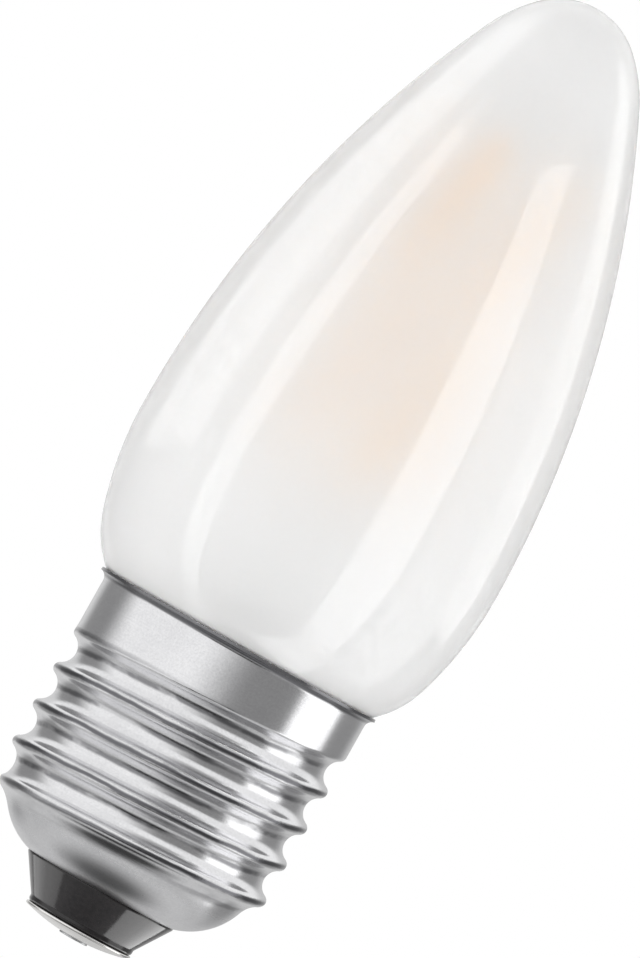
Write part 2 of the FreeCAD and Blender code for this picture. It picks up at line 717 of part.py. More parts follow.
def support_rod(links):
    foot_z = PRESS_TO_Z + SEAT
    button_z = link_z()
    under_z = button_z - BUTTON_DOWN
    rod = turned(line_chain(
        (0, foot_z),
        (ROD_FOOT_R, foot_z),
        (ROD_R, foot_z + ROD_FOOT_HEIGHT),
        (ROD_R, under_z),
        (BUTTON_R, button_z - BUTTON_DOWN / 3),
        (BUTTON_R, button_z + BUTTON_UP / 3),
        (ROD_R, button_z + BUTTON_UP),
        (0, button_z + BUTTON_UP),
    ))
    return rod.cut(Part.makeCompound(links))


def insulating_sleeve():
    inner_r = SLEEVE_R - SLEEVE_WALL
    ledge_top = BOARD_Z - SEAT
    sleeve = turned_lines(
        (SLEEVE_R - SLEEVE_CHAMFER, SLEEVE_FROM_Z),
        (SLEEVE_R, SLEEVE_FROM_Z + SLEEVE_CHAMFER),
        (SLEEVE_R, SLEEVE_TO_Z),
        (inner_r, SLEEVE_TO_Z),
        (inner_r, ledge_top),
        (inner_r - LEDGE_WIDTH, ledge_top),
        (inner_r - LEDGE_WIDTH, ledge_top - LEDGE_HEIGHT),
        (inner_r, ledge_top - LEDGE_HEIGHT),
        (inner_r, SLEEVE_FROM_Z),
    )
    slot = Part.makeBox(SLOT_WIDTH, SLEEVE_WALL * 3, SLOT_DEPTH * 2,
                        Vector(-SLOT_WIDTH / 2, inner_r - SLEEVE_WALL, SLEEVE_TO_Z - SLOT_DEPTH))
    slot.rotate(ORIGIN, UP, NEUTRAL_BEARING - 180)
    return sleeve.cut(slot)


def circuit_board():
    """Round board with a hole for each wire that passes through it."""
    spots = [(at_bearing(LEAD_OFFSET, lead_bearing(side), 0), WIRE_R) for side in (0, 1)]
    spots += [(spot, WIRE_R) for spot in capacitor_legs()]
    spots += [(ORIGIN, WIRE_R), (at_bearing(NEUTRAL_BOARD_R, NEUTRAL_BEARING, 0), NEUTRAL_R)]
    board = Part.makeCylinder(SLEEVE_R - SLEEVE_WALL - BOARD_PLAY, BOARD_THICK, UP * BOARD_Z)
    holes = []
    for spot, radius in spots:
        holes.append(Part.makeCylinder(radius + HOLE_PLAY, BOARD_THICK, spot + UP * BOARD_Z))
    return board.cut(Part.makeCompound(holes))


def board_spot(radius, turn):
    """Point on the board, by its distance from the axis and its turn from the first lead-in wire."""
    return at_bearing(radius, lead_bearing(0) + turn, 0)


def capacitor_legs():
    """Spots where the capacitor's legs pass through the board."""
    middle = board_spot(PART_RING_R, CAPACITOR_TURN)
    across = UP.cross(middle).normalize() * (CAPACITOR_R / 2)
    return [middle - across, middle + across]


def smoothing_capacitor():
    """Can under the board with a crimped seal and two legs through the board."""
    top = BOARD_Z - SEAT
    foot = top - CAPACITOR_HEIGHT
    crimp_z = top - CRIMP_FROM
    can = turned_lines(
        (0, top),
        (CAPACITOR_R - CAN_EDGE / 2, top),
        (CAPACITOR_R, top - CAN_EDGE),
        (CAPACITOR_R, crimp_z),
        (CAPACITOR_R - CRIMP_DEPTH, crimp_z - CRIMP_HEIGHT / 2),
        (CAPACITOR_R, crimp_z - CRIMP_HEIGHT),
        (CAPACITOR_R, foot + CAN_EDGE),
        (CAPACITOR_R - CAN_EDGE, foot),
        (0, foot),
    )
    can.translate(board_spot(PART_RING_R, CAPACITOR_TURN))
    length = BOARD_THICK + LEAD_TAIL + SEAT
    return can.fuse([Part.makeCylinder(WIRE_R, length, spot + UP * top) for spot in capacitor_legs()])


def choke_core():
    """Drum core under the board."""
    top = BOARD_Z - SEAT
    foot = top - CHOKE_HEIGHT
    core = turned_lines(
        (0, foot),
        (CHOKE_R, foot),
        (CHOKE_R, foot + CHOKE_FLANGE),
        (CHOKE_HUB_R, foot + CHOKE_FLANGE),
        (CHOKE_HUB_R, top - CHOKE_FLANGE),
        (CHOKE_R, top - CHOKE_FLANGE),
        (CHOKE_R, top),
        (0, top),
    )
    core.translate(board_spot(PART_RING_R, CHOKE_TURN))
    return core


def choke_winding():
    top = BOARD_Z - CHOKE_FLANGE - 2 * SEAT
    foot = top - CHOKE_HEIGHT + 2 * CHOKE_FLANGE + 2 * SEAT
    crown_r = CHOKE_R - WINDING_INSET
    edge_r = crown_r - WINDING_CROWN
    crown = Part.Arc(profile_point(edge_r, foot), profile_point(crown_r, (foot + top) / 2),
                     profile_point(edge_r, top)).toShape()
    hub = CHOKE_HUB_R + SEAT
    winding = turned([crown] + line_chain((hub, top), (hub, foot)))
    winding.translate(board_spot(PART_RING_R, CHOKE_TURN))
    return winding


def fusible_resistor():
    """Upright resistor on the axis, with a wire at each end."""
    wire_foot = LIVE_TOP_Z + SEAT
    wire_top = BOARD_TOP_Z + LEAD_TAIL
    foot = LIVE_TOP_Z + (BOARD_Z - LIVE_TOP_Z - RESISTOR_LENGTH) / 2
    top = foot + RESISTOR_LENGTH
    waist = RESISTOR_R - RESISTOR_WAIST
    return turned_lines(
        (0, wire_foot),
        (WIRE_R, wire_foot),
        (WIRE_R, foot),
        (RESISTOR_R - RESISTOR_EDGE, foot),
        (RESISTOR_R, foot + RESISTOR_EDGE),
        (RESISTOR_R, foot + RESISTOR_END),
        (waist, foot + RESISTOR_END + RESISTOR_WAIST),
        (waist, top - RESISTOR_END - RESISTOR_WAIST),
        (RESISTOR_R, top - RESISTOR_END),
        (RESISTOR_R, top - RESISTOR_EDGE),
        (RESISTOR_R - RESISTOR_EDGE, top),
        (WIRE_R, top),
        (WIRE_R, wire_top),
        (0, wire_top),
    )


def gull_lead(width, shoulder_z):
    """Bent flat lead drawn in the XZ plane, its foot on the board at z 0."""
    points = [
        (0, shoulder_z),
        (GULL_REACH * GULL_TOP, shoulder_z),
        (GULL_REACH * GULL_SOLE, GULL_THICK),
        (GULL_REACH, GULL_THICK),
        (GULL_REACH, 0),
        (GULL_REACH * GULL_TOP, 0),
        (GULL_REACH * GULL_UNDER, shoulder_z - GULL_THICK),
        (0, shoulder_z - GULL_THICK),
    ]
    vectors = [Vector(x, -width / 2, z) for x, z in points]
    face = Part.Face(Part.makePolygon(vectors + vectors[:1]))
    return face.extrude(Vector(0, width, 0))


def board_package(length, width, height, lead_width, leads, turn):
    """Moulded package on top of the board with bent leads along both long sides."""
    body = Part.makeBox(width, length, height - PACKAGE_LIFT, Vector(-width / 2, -length / 2, PACKAGE_LIFT))
    top_face = max(body.Faces, key=lambda face: face.CenterOfMass.z)
    solids = []
    for number in range(leads):
        along = (number - (leads - 1) / 2) * length / leads
        for side in (0, 180):
            lead = gull_lead(lead_width, height / 2)
            lead.translate(Vector(width / 2 - SEAT, along, 0))
            lead.rotate(ORIGIN, UP, side)
            solids.append(lead)
    package = body.makeChamfer(PACKAGE_BEVEL, top_face.Edges).fuse(solids)
    free_r = SLEEVE_R - SLEEVE_WALL - PACKAGE_MARGIN
    middle_r = math.sqrt(free_r**2 - (length / 2) ** 2) - width / 2 - GULL_REACH
    package.translate(Vector(middle_r, 0, BOARD_TOP_Z + SEAT))
    package.rotate(ORIGIN, UP, lead_bearing(0) + turn - 90)
    return package


def bridge_rectifier():
    return board_package(RECTIFIER_LENGTH, RECTIFIER_WIDTH, RECTIFIER_HEIGHT, RECTIFIER_LEAD,
                         RECTIFIER_LEAD_COUNT, RECTIFIER_TURN)


def driver_chip():
    return board_package(CHIP_LENGTH, CHIP_WIDTH, CHIP_HEIGHT, CHIP_LEAD, CHIP_LEAD_COUNT, CHIP_TURN)


def live_wire():
    """Wire from the end contact up to the resistor."""
    return Part.makeCylinder(WIRE_R, LIVE_TOP_Z - LIVE_FOOT_Z, Vector(0, 0, LIVE_FOOT_Z))


def neutral_wire():
    """Wire from the board, between glass and cap, to the inside of the skirt."""
    gap_r = (NECK_R + ROOT_R - SHEET) / 2
    end_r = SKIRT_R - SHEET - NEUTRAL_R - SEAT
    rise_z = SLEEVE_TO_Z - SLOT_DEPTH - NEUTRAL_DROP
    route = [
        (NEUTRAL_BOARD_R, BOARD_Z - LEAD_TAIL),
        (NEUTRAL_BOARD_R, rise_z),
        (gap_r, rise_z + NEUTRAL_STEP),
        (gap_r, CEMENT_FROM_Z - NEUTRAL_KICK),
        (end_r, CEMENT_FROM_Z),
        (end_r, CEMENT_FROM_Z + NEUTRAL_TAIL),
    ]
    return bent_wire([at_bearing(r, NEUTRAL_BEARING, z) for r, z in route], NEUTRAL_R, NEUTRAL_BEND)


def build():
    """Every piece by its node name."""
    leads = [lead_wire(side) for side in (0, 1)]
    links = [head_link(side) for side in (0, 1)]
    neutral = neutral_wire()
    pieces = {
        "glass_envelope": glass_envelope(),
        "glass_stem": glass_stem(lead_bearing(0), leads),
        "exhaust_tube": exhaust_tube(),
        "support_rod": support_rod(links),
        "cap_shell": cap_shell(),
        "cap_insulator": cap_insulator(),
        "centre_contact": centre_contact(),
        "contact_solder": contact_solder(),
        "basing_cement": basing_cement(neutral),
        "insulating_sleeve": insulating_sleeve(),
        "circuit_board": circuit_board(),
        "bridge_rectifier": bridge_rectifier(),
        "driver_chip": driver_chip(),
        "smoothing_capacitor": smoothing_capacitor(),
        "choke_core": choke_core(),
        "choke_winding": choke_winding(),
        "fusible_resistor": fusible_resistor(),
        "live_wire": live_wire(),
        "neutral_wire": neutral,
    }
    for index in range(STRIPS):
        pieces[f"light_strip_coat_{index + 1}"] = light_strip_coat(index)
        pieces[f"light_strip_metal_{index + 1}"] = light_strip_metal(index)
    for side in (0, 1):
        pieces[f"lead_wire_{side + 1}"] = leads[side]
        pieces[f"foot_bridge_{side + 1}"] = foot_bridge(side)
        pieces[f"head_link_{side + 1}"] = links[side]
    return pieces


def main():
    os.makedirs("parts", exist_ok=True)
    for name, shape in build().items():
        shape.exportStep(f"parts/{name}.step")
        print(name, shape.ShapeType, len(shape.Solids), shape.isValid(), round(shape.Volume, 2))


main()
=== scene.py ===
import logging
import math
from dataclasses import dataclass
from enum import Enum
from functools import cache

import bpy
import numpy as np
from mathutils import Matrix, Vector


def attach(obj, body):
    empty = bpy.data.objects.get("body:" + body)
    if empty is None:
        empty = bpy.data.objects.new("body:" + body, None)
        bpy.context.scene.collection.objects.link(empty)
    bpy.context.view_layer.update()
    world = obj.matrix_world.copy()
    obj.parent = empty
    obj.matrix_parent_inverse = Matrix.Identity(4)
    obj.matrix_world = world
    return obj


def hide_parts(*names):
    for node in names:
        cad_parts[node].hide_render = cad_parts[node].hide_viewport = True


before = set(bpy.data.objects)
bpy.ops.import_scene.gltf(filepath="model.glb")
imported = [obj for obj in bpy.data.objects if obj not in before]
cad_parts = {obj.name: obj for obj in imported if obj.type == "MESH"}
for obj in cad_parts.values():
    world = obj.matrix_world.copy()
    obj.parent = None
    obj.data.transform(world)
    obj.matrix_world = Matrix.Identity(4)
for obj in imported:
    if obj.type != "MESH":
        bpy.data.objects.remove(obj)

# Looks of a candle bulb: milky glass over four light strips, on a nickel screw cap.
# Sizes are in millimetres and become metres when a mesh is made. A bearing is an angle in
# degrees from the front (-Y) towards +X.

log = logging.getLogger("candle_bulb")
MM = 0.001
FULL_TURN = 2 * math.pi
Colour = tuple[float, float, float]
Point = tuple[float, float]
Group = bpy.types.NodeTree
Material = bpy.types.Material
Node = bpy.types.Node
Piece = bpy.types.Object
Socket = bpy.types.NodeSocket


class Slot(Enum):
    """The record's material slots, one named with each new piece; the script does not set them."""

    CLEAR_GLASS = "clear_glass"
    CAP_METAL = "cap_metal"
    BLACK_GLASS = "black_glass"
    CONTACT_METAL = "contact_metal"
    SOLDER = "solder"
    CEMENT = "cement"
    PHOSPHOR = "phosphor"


class Ramp(Enum):
    """How a span runs between its ends."""

    STRAIGHT = "LINEAR"
    SMOOTH = "SMOOTHSTEP"


def smooth_step(value: np.ndarray, start: float, end: float) -> np.ndarray:
    """Gives 0 before start and 1 after end, level at both: share squared times (3 - 2 share)."""
    share = np.clip((value - start) / (end - start), 0.0, 1.0)
    return share * share * (3 - 2 * share)


def ring_angles(columns: int) -> np.ndarray:
    """Angles of the points on one ring."""
    return np.arange(columns) / columns * FULL_TURN


def arc_points(centre: Point, radius: float, start: float, end: float, count: int) -> np.ndarray:
    """Arc in (r, z): centre plus radius times (cos, sin), in degrees; a radius under 0 makes it hollow."""
    angles = np.radians(np.linspace(start, end, count))
    return np.column_stack([centre[0] + radius * np.cos(angles), centre[1] + radius * np.sin(angles)])


def fall_angle(distance: float, radius: float) -> float:
    """Angle in degrees, below the level, of a round's point at a level distance from its centre."""
    return -math.degrees(math.acos(distance / radius))


def low_arc(centre: Point, radius: float, start: float, end: float, count: int) -> np.ndarray:
    """Arc in (r, z) below its centre, between two distances from the axis."""
    angles = [fall_angle(distance - centre[0], radius) for distance in (start, end)]
    return arc_points(centre, radius, *angles, count)


def rounded(corners: list[Point], radius: float, count: int = 5) -> np.ndarray:
    """Profile through corners, each cut back by a radius along both sides and rounded by a parabola.

    The parabola through a, corner, b at share t is (1-t)^2 a + 2t(1-t) corner + t^2 b.

    Args:
        corners: (r, z) points; the first and last stay sharp.
        radius: how far each corner is cut back, at most 0.45 of a side.
        count: points on each rounded corner.

    Returns:
        An array of (r, z) rows.
    """
    points = np.array(corners, float)
    shares = np.linspace(0, 1, count)[:, None]
    parts = [points[:1]]
    for before, corner, after in zip(points, points[1:], points[2:]):
        ends = []
        for side in (before - corner, after - corner):
            length = np.linalg.norm(side)
            ends.append(corner + side / length * min(radius, 0.45 * length))
        parts.append((1 - shares) ** 2 * ends[0] + 2 * shares * (1 - shares) * corner + shares**2 * ends[1])
    return np.vstack([*parts, points[-1:]])


def turned_rings(profile: np.ndarray, columns: int) -> np.ndarray:
    """Carries a profile of (r, z) round the axis: (r cos a, r sin a, z) for each row and column."""
    r, z, angles = profile[:, :1], profile[:, 1:], ring_angles(columns)
    return np.stack([r * np.cos(angles), r * np.sin(angles), z + 0 * angles], axis=-1)


def ring_faces(rows: int, columns: int, poles: bool) -> list[np.ndarray]:
    """Faces of a ring mesh: a quad joins (row, column) to the next row and the next column.

    Args:
        rows: number of whole rings.
        columns: points on each ring.
        poles: whether each end closes in one point, or else the last ring joins the first.

    Returns:
        The quads, and with poles also the two fans of triangles.
    """
    row = np.arange(rows - poles)[:, None]
    column = np.arange(columns)
    above, beside = (row + 1) % rows * columns, (column + 1) % columns
    row = row * columns
    quads = np.stack([row + column, row + beside, above + beside, above + column], axis=-1).reshape(-1, 4)
    if not poles:
        return [quads]
    top, foot_pole = (rows - 1) * columns, np.full(columns, rows * columns)
    low = np.column_stack([beside, column, foot_pole])
    high = np.column_stack([column + top, beside + top, foot_pole + 1])
    return [quads, low, high]


def outward(points: np.ndarray, faces: list[np.ndarray]) -> list[np.ndarray]:
    """Turns a closed mesh right side out, by the sign of the sum of a . (b x c) over its triangles.

    Args:
        points: its points.
        faces: its quads and triangles, as rows of point numbers.

    Returns:
        The faces, each the other way round from its first corner where the sum was negative.
    """
    volume = 0.0
    for part in faces:
        for second in range(1, part.shape[1] - 1):
            a, b, c = points[part[:, [0, second, second + 1]]].transpose(1, 0, 2)
            volume += np.einsum("ij,ij->", a, np.cross(b, c))
    return faces if volume > 0 else [np.roll(part[:, ::-1], 1, axis=1) for part in faces]


def ring_object(name: str, rings: np.ndarray, poles: list[list[float]] | None = None,
                sharp: float = 32.0) -> Piece:
    """Makes an object from rings of points, with outward faces and a UV map of (turn, height).

    Corners of a face that crosses the seam take the turn past one, so the pattern runs on.

    Args:
        name: the object's name.
        rings: array of shape (rows, columns, 3) in millimetres.
        poles: the two end points in millimetres; without them the last ring joins the first.
        sharp: angle in degrees above which an edge stays sharp.

    Returns:
        The new object, linked to the scene.
    """
    points = np.vstack([rings.reshape(-1, 3), *(poles or [])])
    faces = outward(points, ring_faces(*rings.shape[:2], poles is not None))
    mesh = bpy.data.meshes.new(name)
    mesh.from_pydata((points * MM).tolist(), [], [face for part in faces for face in part.tolist()])
    wrap = []
    for part in faces:
        x, y, z = points[part].transpose(2, 0, 1)
        turn = (np.arctan2(y, x) / FULL_TURN) % 1.0
        turn += turn.max(axis=1, keepdims=True) - turn > 0.5
        wrap.append(np.stack([turn, z], axis=-1).ravel())
    mesh.uv_layers.new(name="wrap").data.foreach_set("uv", np.concatenate(wrap))
    mesh.polygons.foreach_set("use_smooth", np.ones(len(mesh.polygons), bool))
    mesh.set_sharp_from_angle(angle=math.radians(sharp))
    mesh.validate()
    piece = bpy.data.objects.new(name, mesh)
    bpy.context.scene.collection.objects.link(piece)
    return piece


class Tree:
    """A node tree with short calls for adding and joining nodes."""

    def __init__(self, tree: Group) -> None:
        """Keeps the tree and empties it."""
        self.tree = tree
        tree.nodes.clear()

    def add(self, kind: str, **values: object) -> Node:
        """Adds a shader node, sets its options, and fills or joins its inputs.

        Args:
            kind: the node's type, without the words ShaderNode.
            values: options in small letters; inputs by name with _ for a space, or by _ and a number.

        Returns:
            The node.
        """
        node = self.tree.nodes.new(f"ShaderNode{kind}")
        for key, value in values.items():
            if key[0].islower():
                setattr(node, key, value)
            else:
                self.put(node, int(key[1:]) if key[0] == "_" else key.replace("_", " "), value)
        return node

    def put(self, node: Node, key: int | str, value: object) -> None:
        """Sets an input, or joins an output to it.

        Args:
            node: the node that has the input.
            key: the input's name or number.
            value: a value, an output socket, or a node whose first output is meant.
        """
        if isinstance(value, Node):
            value = value.outputs[0]
        if isinstance(value, Socket):
            self.tree.links.new(value, node.inputs[key])
        else:
            node.inputs[key].default_value = value

    def math(self, operation: str, *values: object, clamp: bool = False) -> Socket:
        """Works out one step of arithmetic.

        Args:
            operation: its name in Blender.
            values: the numbers or sockets that it takes, in order.
            clamp: whether the result is held between 0 and 1.

        Returns:
            The result.
        """
        node = self.add("Math", operation=operation, use_clamp=clamp)
        for index, value in enumerate(values):
            self.put(node, index, value)
        return node.outputs[0]

    def mix(self, factor: object, a: object, b: object) -> Socket:
        """Blends two colours by a factor; a colour may be given as three numbers."""
        a, b = [(*side, 1.0) if isinstance(side, tuple) else side for side in (a, b)]
        return self.add("Mix", data_type="RGBA", _0=factor, _6=a, _7=b).outputs[2]

    def blend(self, factor: object, a: object, b: object) -> Socket:
        """Blends two numbers by a factor."""
        return self.add("Mix", data_type="FLOAT", _0=factor, _2=a, _3=b).outputs[0]

    def span(self, value: Socket, low: float, high: float, to_low: float, to_high: float,
             ramp: Ramp = Ramp.STRAIGHT) -> Socket:
        """Maps a value from the range low to high onto to_low to to_high, held at both ends."""
        return self.add("MapRange", interpolation_type=ramp.value, Value=value, From_Min=low, From_Max=high,
                        To_Min=to_low, To_Max=to_high).outputs[0]

    def noise(self, place: Socket, scale: object, detail: float, roughness: float) -> Socket:
        """Noise between about 0.3 and 0.7 at a place."""
        return self.add("TexNoise", Vector=place, Scale=scale, Detail=detail, Roughness=roughness).outputs[0]

    def stretched(self, place: Socket, factors: Colour) -> Socket:
        """Multiplies each part of a place by its own factor."""
        return self.add("VectorMath", operation="MULTIPLY", _0=place, _1=factors).outputs[0]

    def parts(self, place: Socket) -> list[Socket]:
        """The three parts of a place."""
        return list(self.add("SeparateXYZ", Vector=place).outputs)

    def bump(self, strength: float, reach: float, height: Socket, **others: object) -> Socket:
        """The normal of a height that moves the surface by up to a reach in metres."""
        return self.add("Bump", Strength=strength, Distance=reach, Height=height, **others).outputs[0]


def new_group(name: str, inputs: dict[str, float | None],
              outputs: list[str]) -> tuple[Tree, list[Socket], Node]:
    """Starts a shader node group whose outputs are numbers.

    Args:
        name: the group's name.
        inputs: default of each input, or None for a place.
        outputs: name of each output.

    Returns:
        The group's tree helper, the sockets that give its inputs, and its output node.
    """
    group = bpy.data.node_groups.new(name, "ShaderNodeTree")
    for label, default in inputs.items():
        kind = "NodeSocketVector" if default is None else "NodeSocketFloat"
        socket = group.interface.new_socket(name=label, in_out="INPUT", socket_type=kind)
        if default is not None:
            socket.default_value = default
    for label in outputs:
        group.interface.new_socket(name=label, in_out="OUTPUT", socket_type="NodeSocketFloat")
    tree = Tree(group)
    return tree, list(group.nodes.new("NodeGroupInput").outputs), group.nodes.new("NodeGroupOutput")


@cache
def mottle_group() -> Group:
    """Soft clouds and fine grains in one mask, and the grains as a height. Made once."""
    tree, (place, cloud_scale, grain_scale, *_), result = new_group(
        "mottle", {"Vector": None, "Clouds": 300.0, "Grains": 4000.0}, ["Mask", "Height"])
    clouds = tree.noise(place, cloud_scale, 4.0, 0.6)
    grains = tree.noise(place, grain_scale, 2.0, 0.5)
    both = tree.math("MULTIPLY_ADD", clouds, 0.5, tree.math("MULTIPLY", grains, 0.5))
    tree.put(result, 0, tree.span(both, 0.34, 0.66, 0.0, 1.0))
    tree.put(result, 1, grains)
    return tree.tree


@cache
def rolling_group() -> Group:
    """Streaks round the axis, dents on the crests, and painted shade lines on crest and groove: dark lines
    that stand in for shade and dark reflections. Made once.

    A place is (turn, height). Its phase counts pitches above the crest, and the distance from a
    line is the phase folded about the line's own phase.
    """
    dent_stretch, wave_stretch = (260.0, 3.2, 1.0), (13.0, 0.35, 1.0)
    crest_from, crest_to = 0.05, 0.16
    wander_reach, wander_start = 0.14, -0.075
    line_from, line_to, groove_to = 0.02, 0.085, 0.1
    groove_shift, groove_share = 0.39, 0.85
    tree, (place, turns, rise, crest, pitch, *_), result = new_group(
        "rolling_marks", {"Vector": None, "Turns": 6.0, "Rise": 9.0, "Crest": 10.0, "Pitch": 3.6},
        ["Streaks", "Dents", "Shade Lines"])
    turn, height, _ = tree.parts(place)
    around, up = tree.math("MULTIPLY", turn, turns), tree.math("MULTIPLY", height, rise)
    tree.put(result, 0, tree.noise(tree.add("CombineXYZ", X=around, Y=up), 1.0, 5.0, 0.65))
    phase = tree.math("SUBTRACT", tree.math("DIVIDE", tree.math("SUBTRACT", height, crest), pitch), turn)
    on_crest = tree.span(tree.math("PINGPONG", phase, 0.5), crest_from, crest_to, 1.0, 0.0)
    dents = tree.noise(tree.stretched(place, dent_stretch), 1.0, 2.0, 0.7)
    tree.put(result, 1, tree.math("MULTIPLY", dents, on_crest))
    # Painted shade: a thin dark line near each crest and a patchy one just above each groove, standing in for
    # shade and dark reflections.
    waves = tree.noise(tree.stretched(place, wave_stretch), 1.0, 3.0, 0.6)
    lowered = tree.math("ADD", phase, tree.math("MULTIPLY_ADD", waves, wander_reach, wander_start))
    line = tree.span(tree.math("PINGPONG", lowered, 0.5), line_from, line_to, 1.0, 0.0, Ramp.SMOOTH)
    from_groove = tree.math("PINGPONG", tree.math("ADD", lowered, groove_shift), 0.5)
    groove = tree.span(from_groove, line_from, groove_to, groove_share, 0.0, Ramp.SMOOTH)
    patchy = tree.math("MULTIPLY", groove, tree.span(waves, 0.38, 0.52, 0.35, 1.0))
    tree.put(result, 2, tree.math("MAXIMUM", line, patchy))
    return tree.tree


# Level behind on the left, then for each step the bearings of its start and end and its rise.
STUDIO_BACK_LEFT = 0.72
STUDIO_STEPS = [(-158.0, -138.0, -0.42), (-114.0, -86.0, 0.76), (-24.0, 24.0, -0.78), (63.0, 70.0, 1.22),
                (107.0, 112.0, -1.20), (138.0, 165.0, 0.30)]


@cache
def studio_group() -> Group:
    """How bright the studio is by bearing, seen level from the bulb. Made once.

    A broad soft card on the left, a plain middle, a crisp bright card on the right and a paler back.
    """
    tree, (place, *_), result = new_group("studio_by_bearing", {"Vector": None}, ["Level"])
    x, y, _ = tree.parts(place)
    bearing = tree.math("ARCTAN2", x, tree.math("MULTIPLY", y, -1.0))
    degrees = tree.math("MULTIPLY", bearing, 180 / math.pi)
    level = STUDIO_BACK_LEFT
    for start, end, rise in STUDIO_STEPS:
        level = tree.math("ADD", level, tree.span(degrees, start, end, 0.0, rise, Ramp.SMOOTH))
    tree.put(result, 0, level)
    return tree.tree


def new_material(name: str) -> tuple[Material, Tree, Node]:
    """Starts a material with one Principled shader.

    Args:
        name: the material's name.

    Returns:
        The material, its tree helper and the shader node.
    """
    material = bpy.data.materials.new(name)
    material.use_nodes = True
    tree = Tree(material.node_tree)
    shader = tree.add("BsdfPrincipled")
    tree.add("OutputMaterial", Surface=shader)
    return material, tree, shader


def mottled(tree: Tree, clouds: float, grains: float) -> bpy.types.NodeOutputs:
    """The mask and the height of the mottle group on Object coordinates, at two scales."""
    place = tree.add("TexCoord").outputs["Object"]
    return tree.add("Group", node_tree=mottle_group(), Vector=place, Clouds=clouds, Grains=grains).outputs


@dataclass(frozen=True)
class Finish:
    """A finish whose colour and gloss vary in soft clouds and fine grains.

    The grains shape its surface, and on glass, which lets light through, the clouds do.
    """

    name: str
    dark: Colour
    light: Colour
    metal: float
    smooth: float
    rough: float
    clouds: float
    grains: float
    bump: float
    reach: float = 0.00003
    transmission: float = 0.0
    refraction: float = 1.5
    coat: float = 0.0
    sheen: float = 0.5
    coat_rough: float = 0.015

    @cache
    def material(self) -> Material:
        """The material on Object coordinates, made once."""
        material, tree, shader = new_material(self.name)
        mask, height = mottled(tree, self.clouds, self.grains)
        tree.put(shader, "Base Color", tree.mix(mask, self.dark, self.light))
        tree.put(shader, "Roughness", tree.span(mask, 0.0, 1.0, self.smooth, self.rough))
        for label, value in (("Metallic", self.metal), ("Transmission Weight", self.transmission),
                             ("IOR", self.refraction), ("Specular IOR Level", self.sheen),
                             ("Coat Weight", self.coat), ("Coat Roughness", self.coat_rough)):
            tree.put(shader, label, value)
        tree.put(shader, "Normal", tree.bump(self.bump, self.reach, mask if self.transmission else height))
        return material


@dataclass(frozen=True)
class NickelFinish(Finish):
    """Plated rolled sheet: clouds, streaks round the axis and small tool dents, with painted shade as dark
    lines on crest and groove and a dark band on the lip.
    """

    crest_z: float = 10.0
    pitch: float = 3.6
    streak_turns: float = 7.0
    streak_rise: float = 8.0
    streak_share: float = 0.5
    cloud_share: float = 0.6
    streak_bump: float = 0.10
    dent_bump: float = 0.5
    # Colour of the painted shade, on the thread's dark lines and on the lip.
    painted_shade: Colour = (0.10, 0.10, 0.11)
    painted_shade_share: float = 0.92
    # Painted shade on the flared lip: the heights where it begins and where it is full, and its share of the
    # shade colour, held up to the lip's edge.
    lip_shade: tuple[float, float, float, float] = (28.75, 28.95, 0.0, 0.85)
    satin: tuple[float, float, float, float] = (7.5, 9.0, 0.13, 0.0)
    thread_start: Point = (8.0, 10.0)
    thread_end: Point = (23.5, 24.5)

    @cache
    def material(self) -> Material:
        """The material on Object coordinates and on the cap's own wrapped map, made once."""
        material, tree, shader = new_material(self.name)
        clouds, grains = mottled(tree, self.clouds, self.grains)
        wrap = tree.add("UVMap", uv_map="wrap").outputs[0]
        rolling = tree.add("Group", node_tree=rolling_group(), Vector=wrap, Turns=self.streak_turns,
                           Rise=self.streak_rise, Crest=self.crest_z, Pitch=self.pitch)
        streaks, dents, shade_lines = rolling.outputs
        mask = tree.math("MULTIPLY_ADD", streaks, self.streak_share,
                         tree.math("MULTIPLY", clouds, self.cloud_share), clamp=True)
        height = tree.parts(wrap)[1]
        threaded = tree.math("MULTIPLY", tree.span(height, *self.thread_start, 0.0, 1.0),
                             tree.span(height, *self.thread_end, 1.0, 0.0))
        # Painted shade, mixed into the base colour: dark lines on crest and groove within the threaded
        # stretch, and a dark band on the lip.
        shade_lines = tree.math("MULTIPLY", tree.math("MULTIPLY", shade_lines, threaded), self.painted_shade_share)
        shaded = tree.math("MAXIMUM", shade_lines, tree.span(height, *self.lip_shade))
        tree.put(shader, "Metallic", self.metal)
        tree.put(shader, "Base Color", tree.mix(shaded, tree.mix(mask, self.dark, self.light), self.painted_shade))
        rolled = tree.span(mask, 0.0, 1.0, self.rough, self.smooth)
        tree.put(shader, "Roughness", tree.math("ADD", rolled, tree.span(height, *self.satin)))
        grain = tree.bump(self.bump, self.reach, grains)
        lines = tree.bump(self.streak_bump, 2 * self.reach, streaks, Normal=grain)
        dented = tree.math("MULTIPLY", dents, threaded)
        tree.put(shader, "Normal", tree.bump(self.dent_bump, self.reach, dented, invert=True, Normal=lines))
        return material


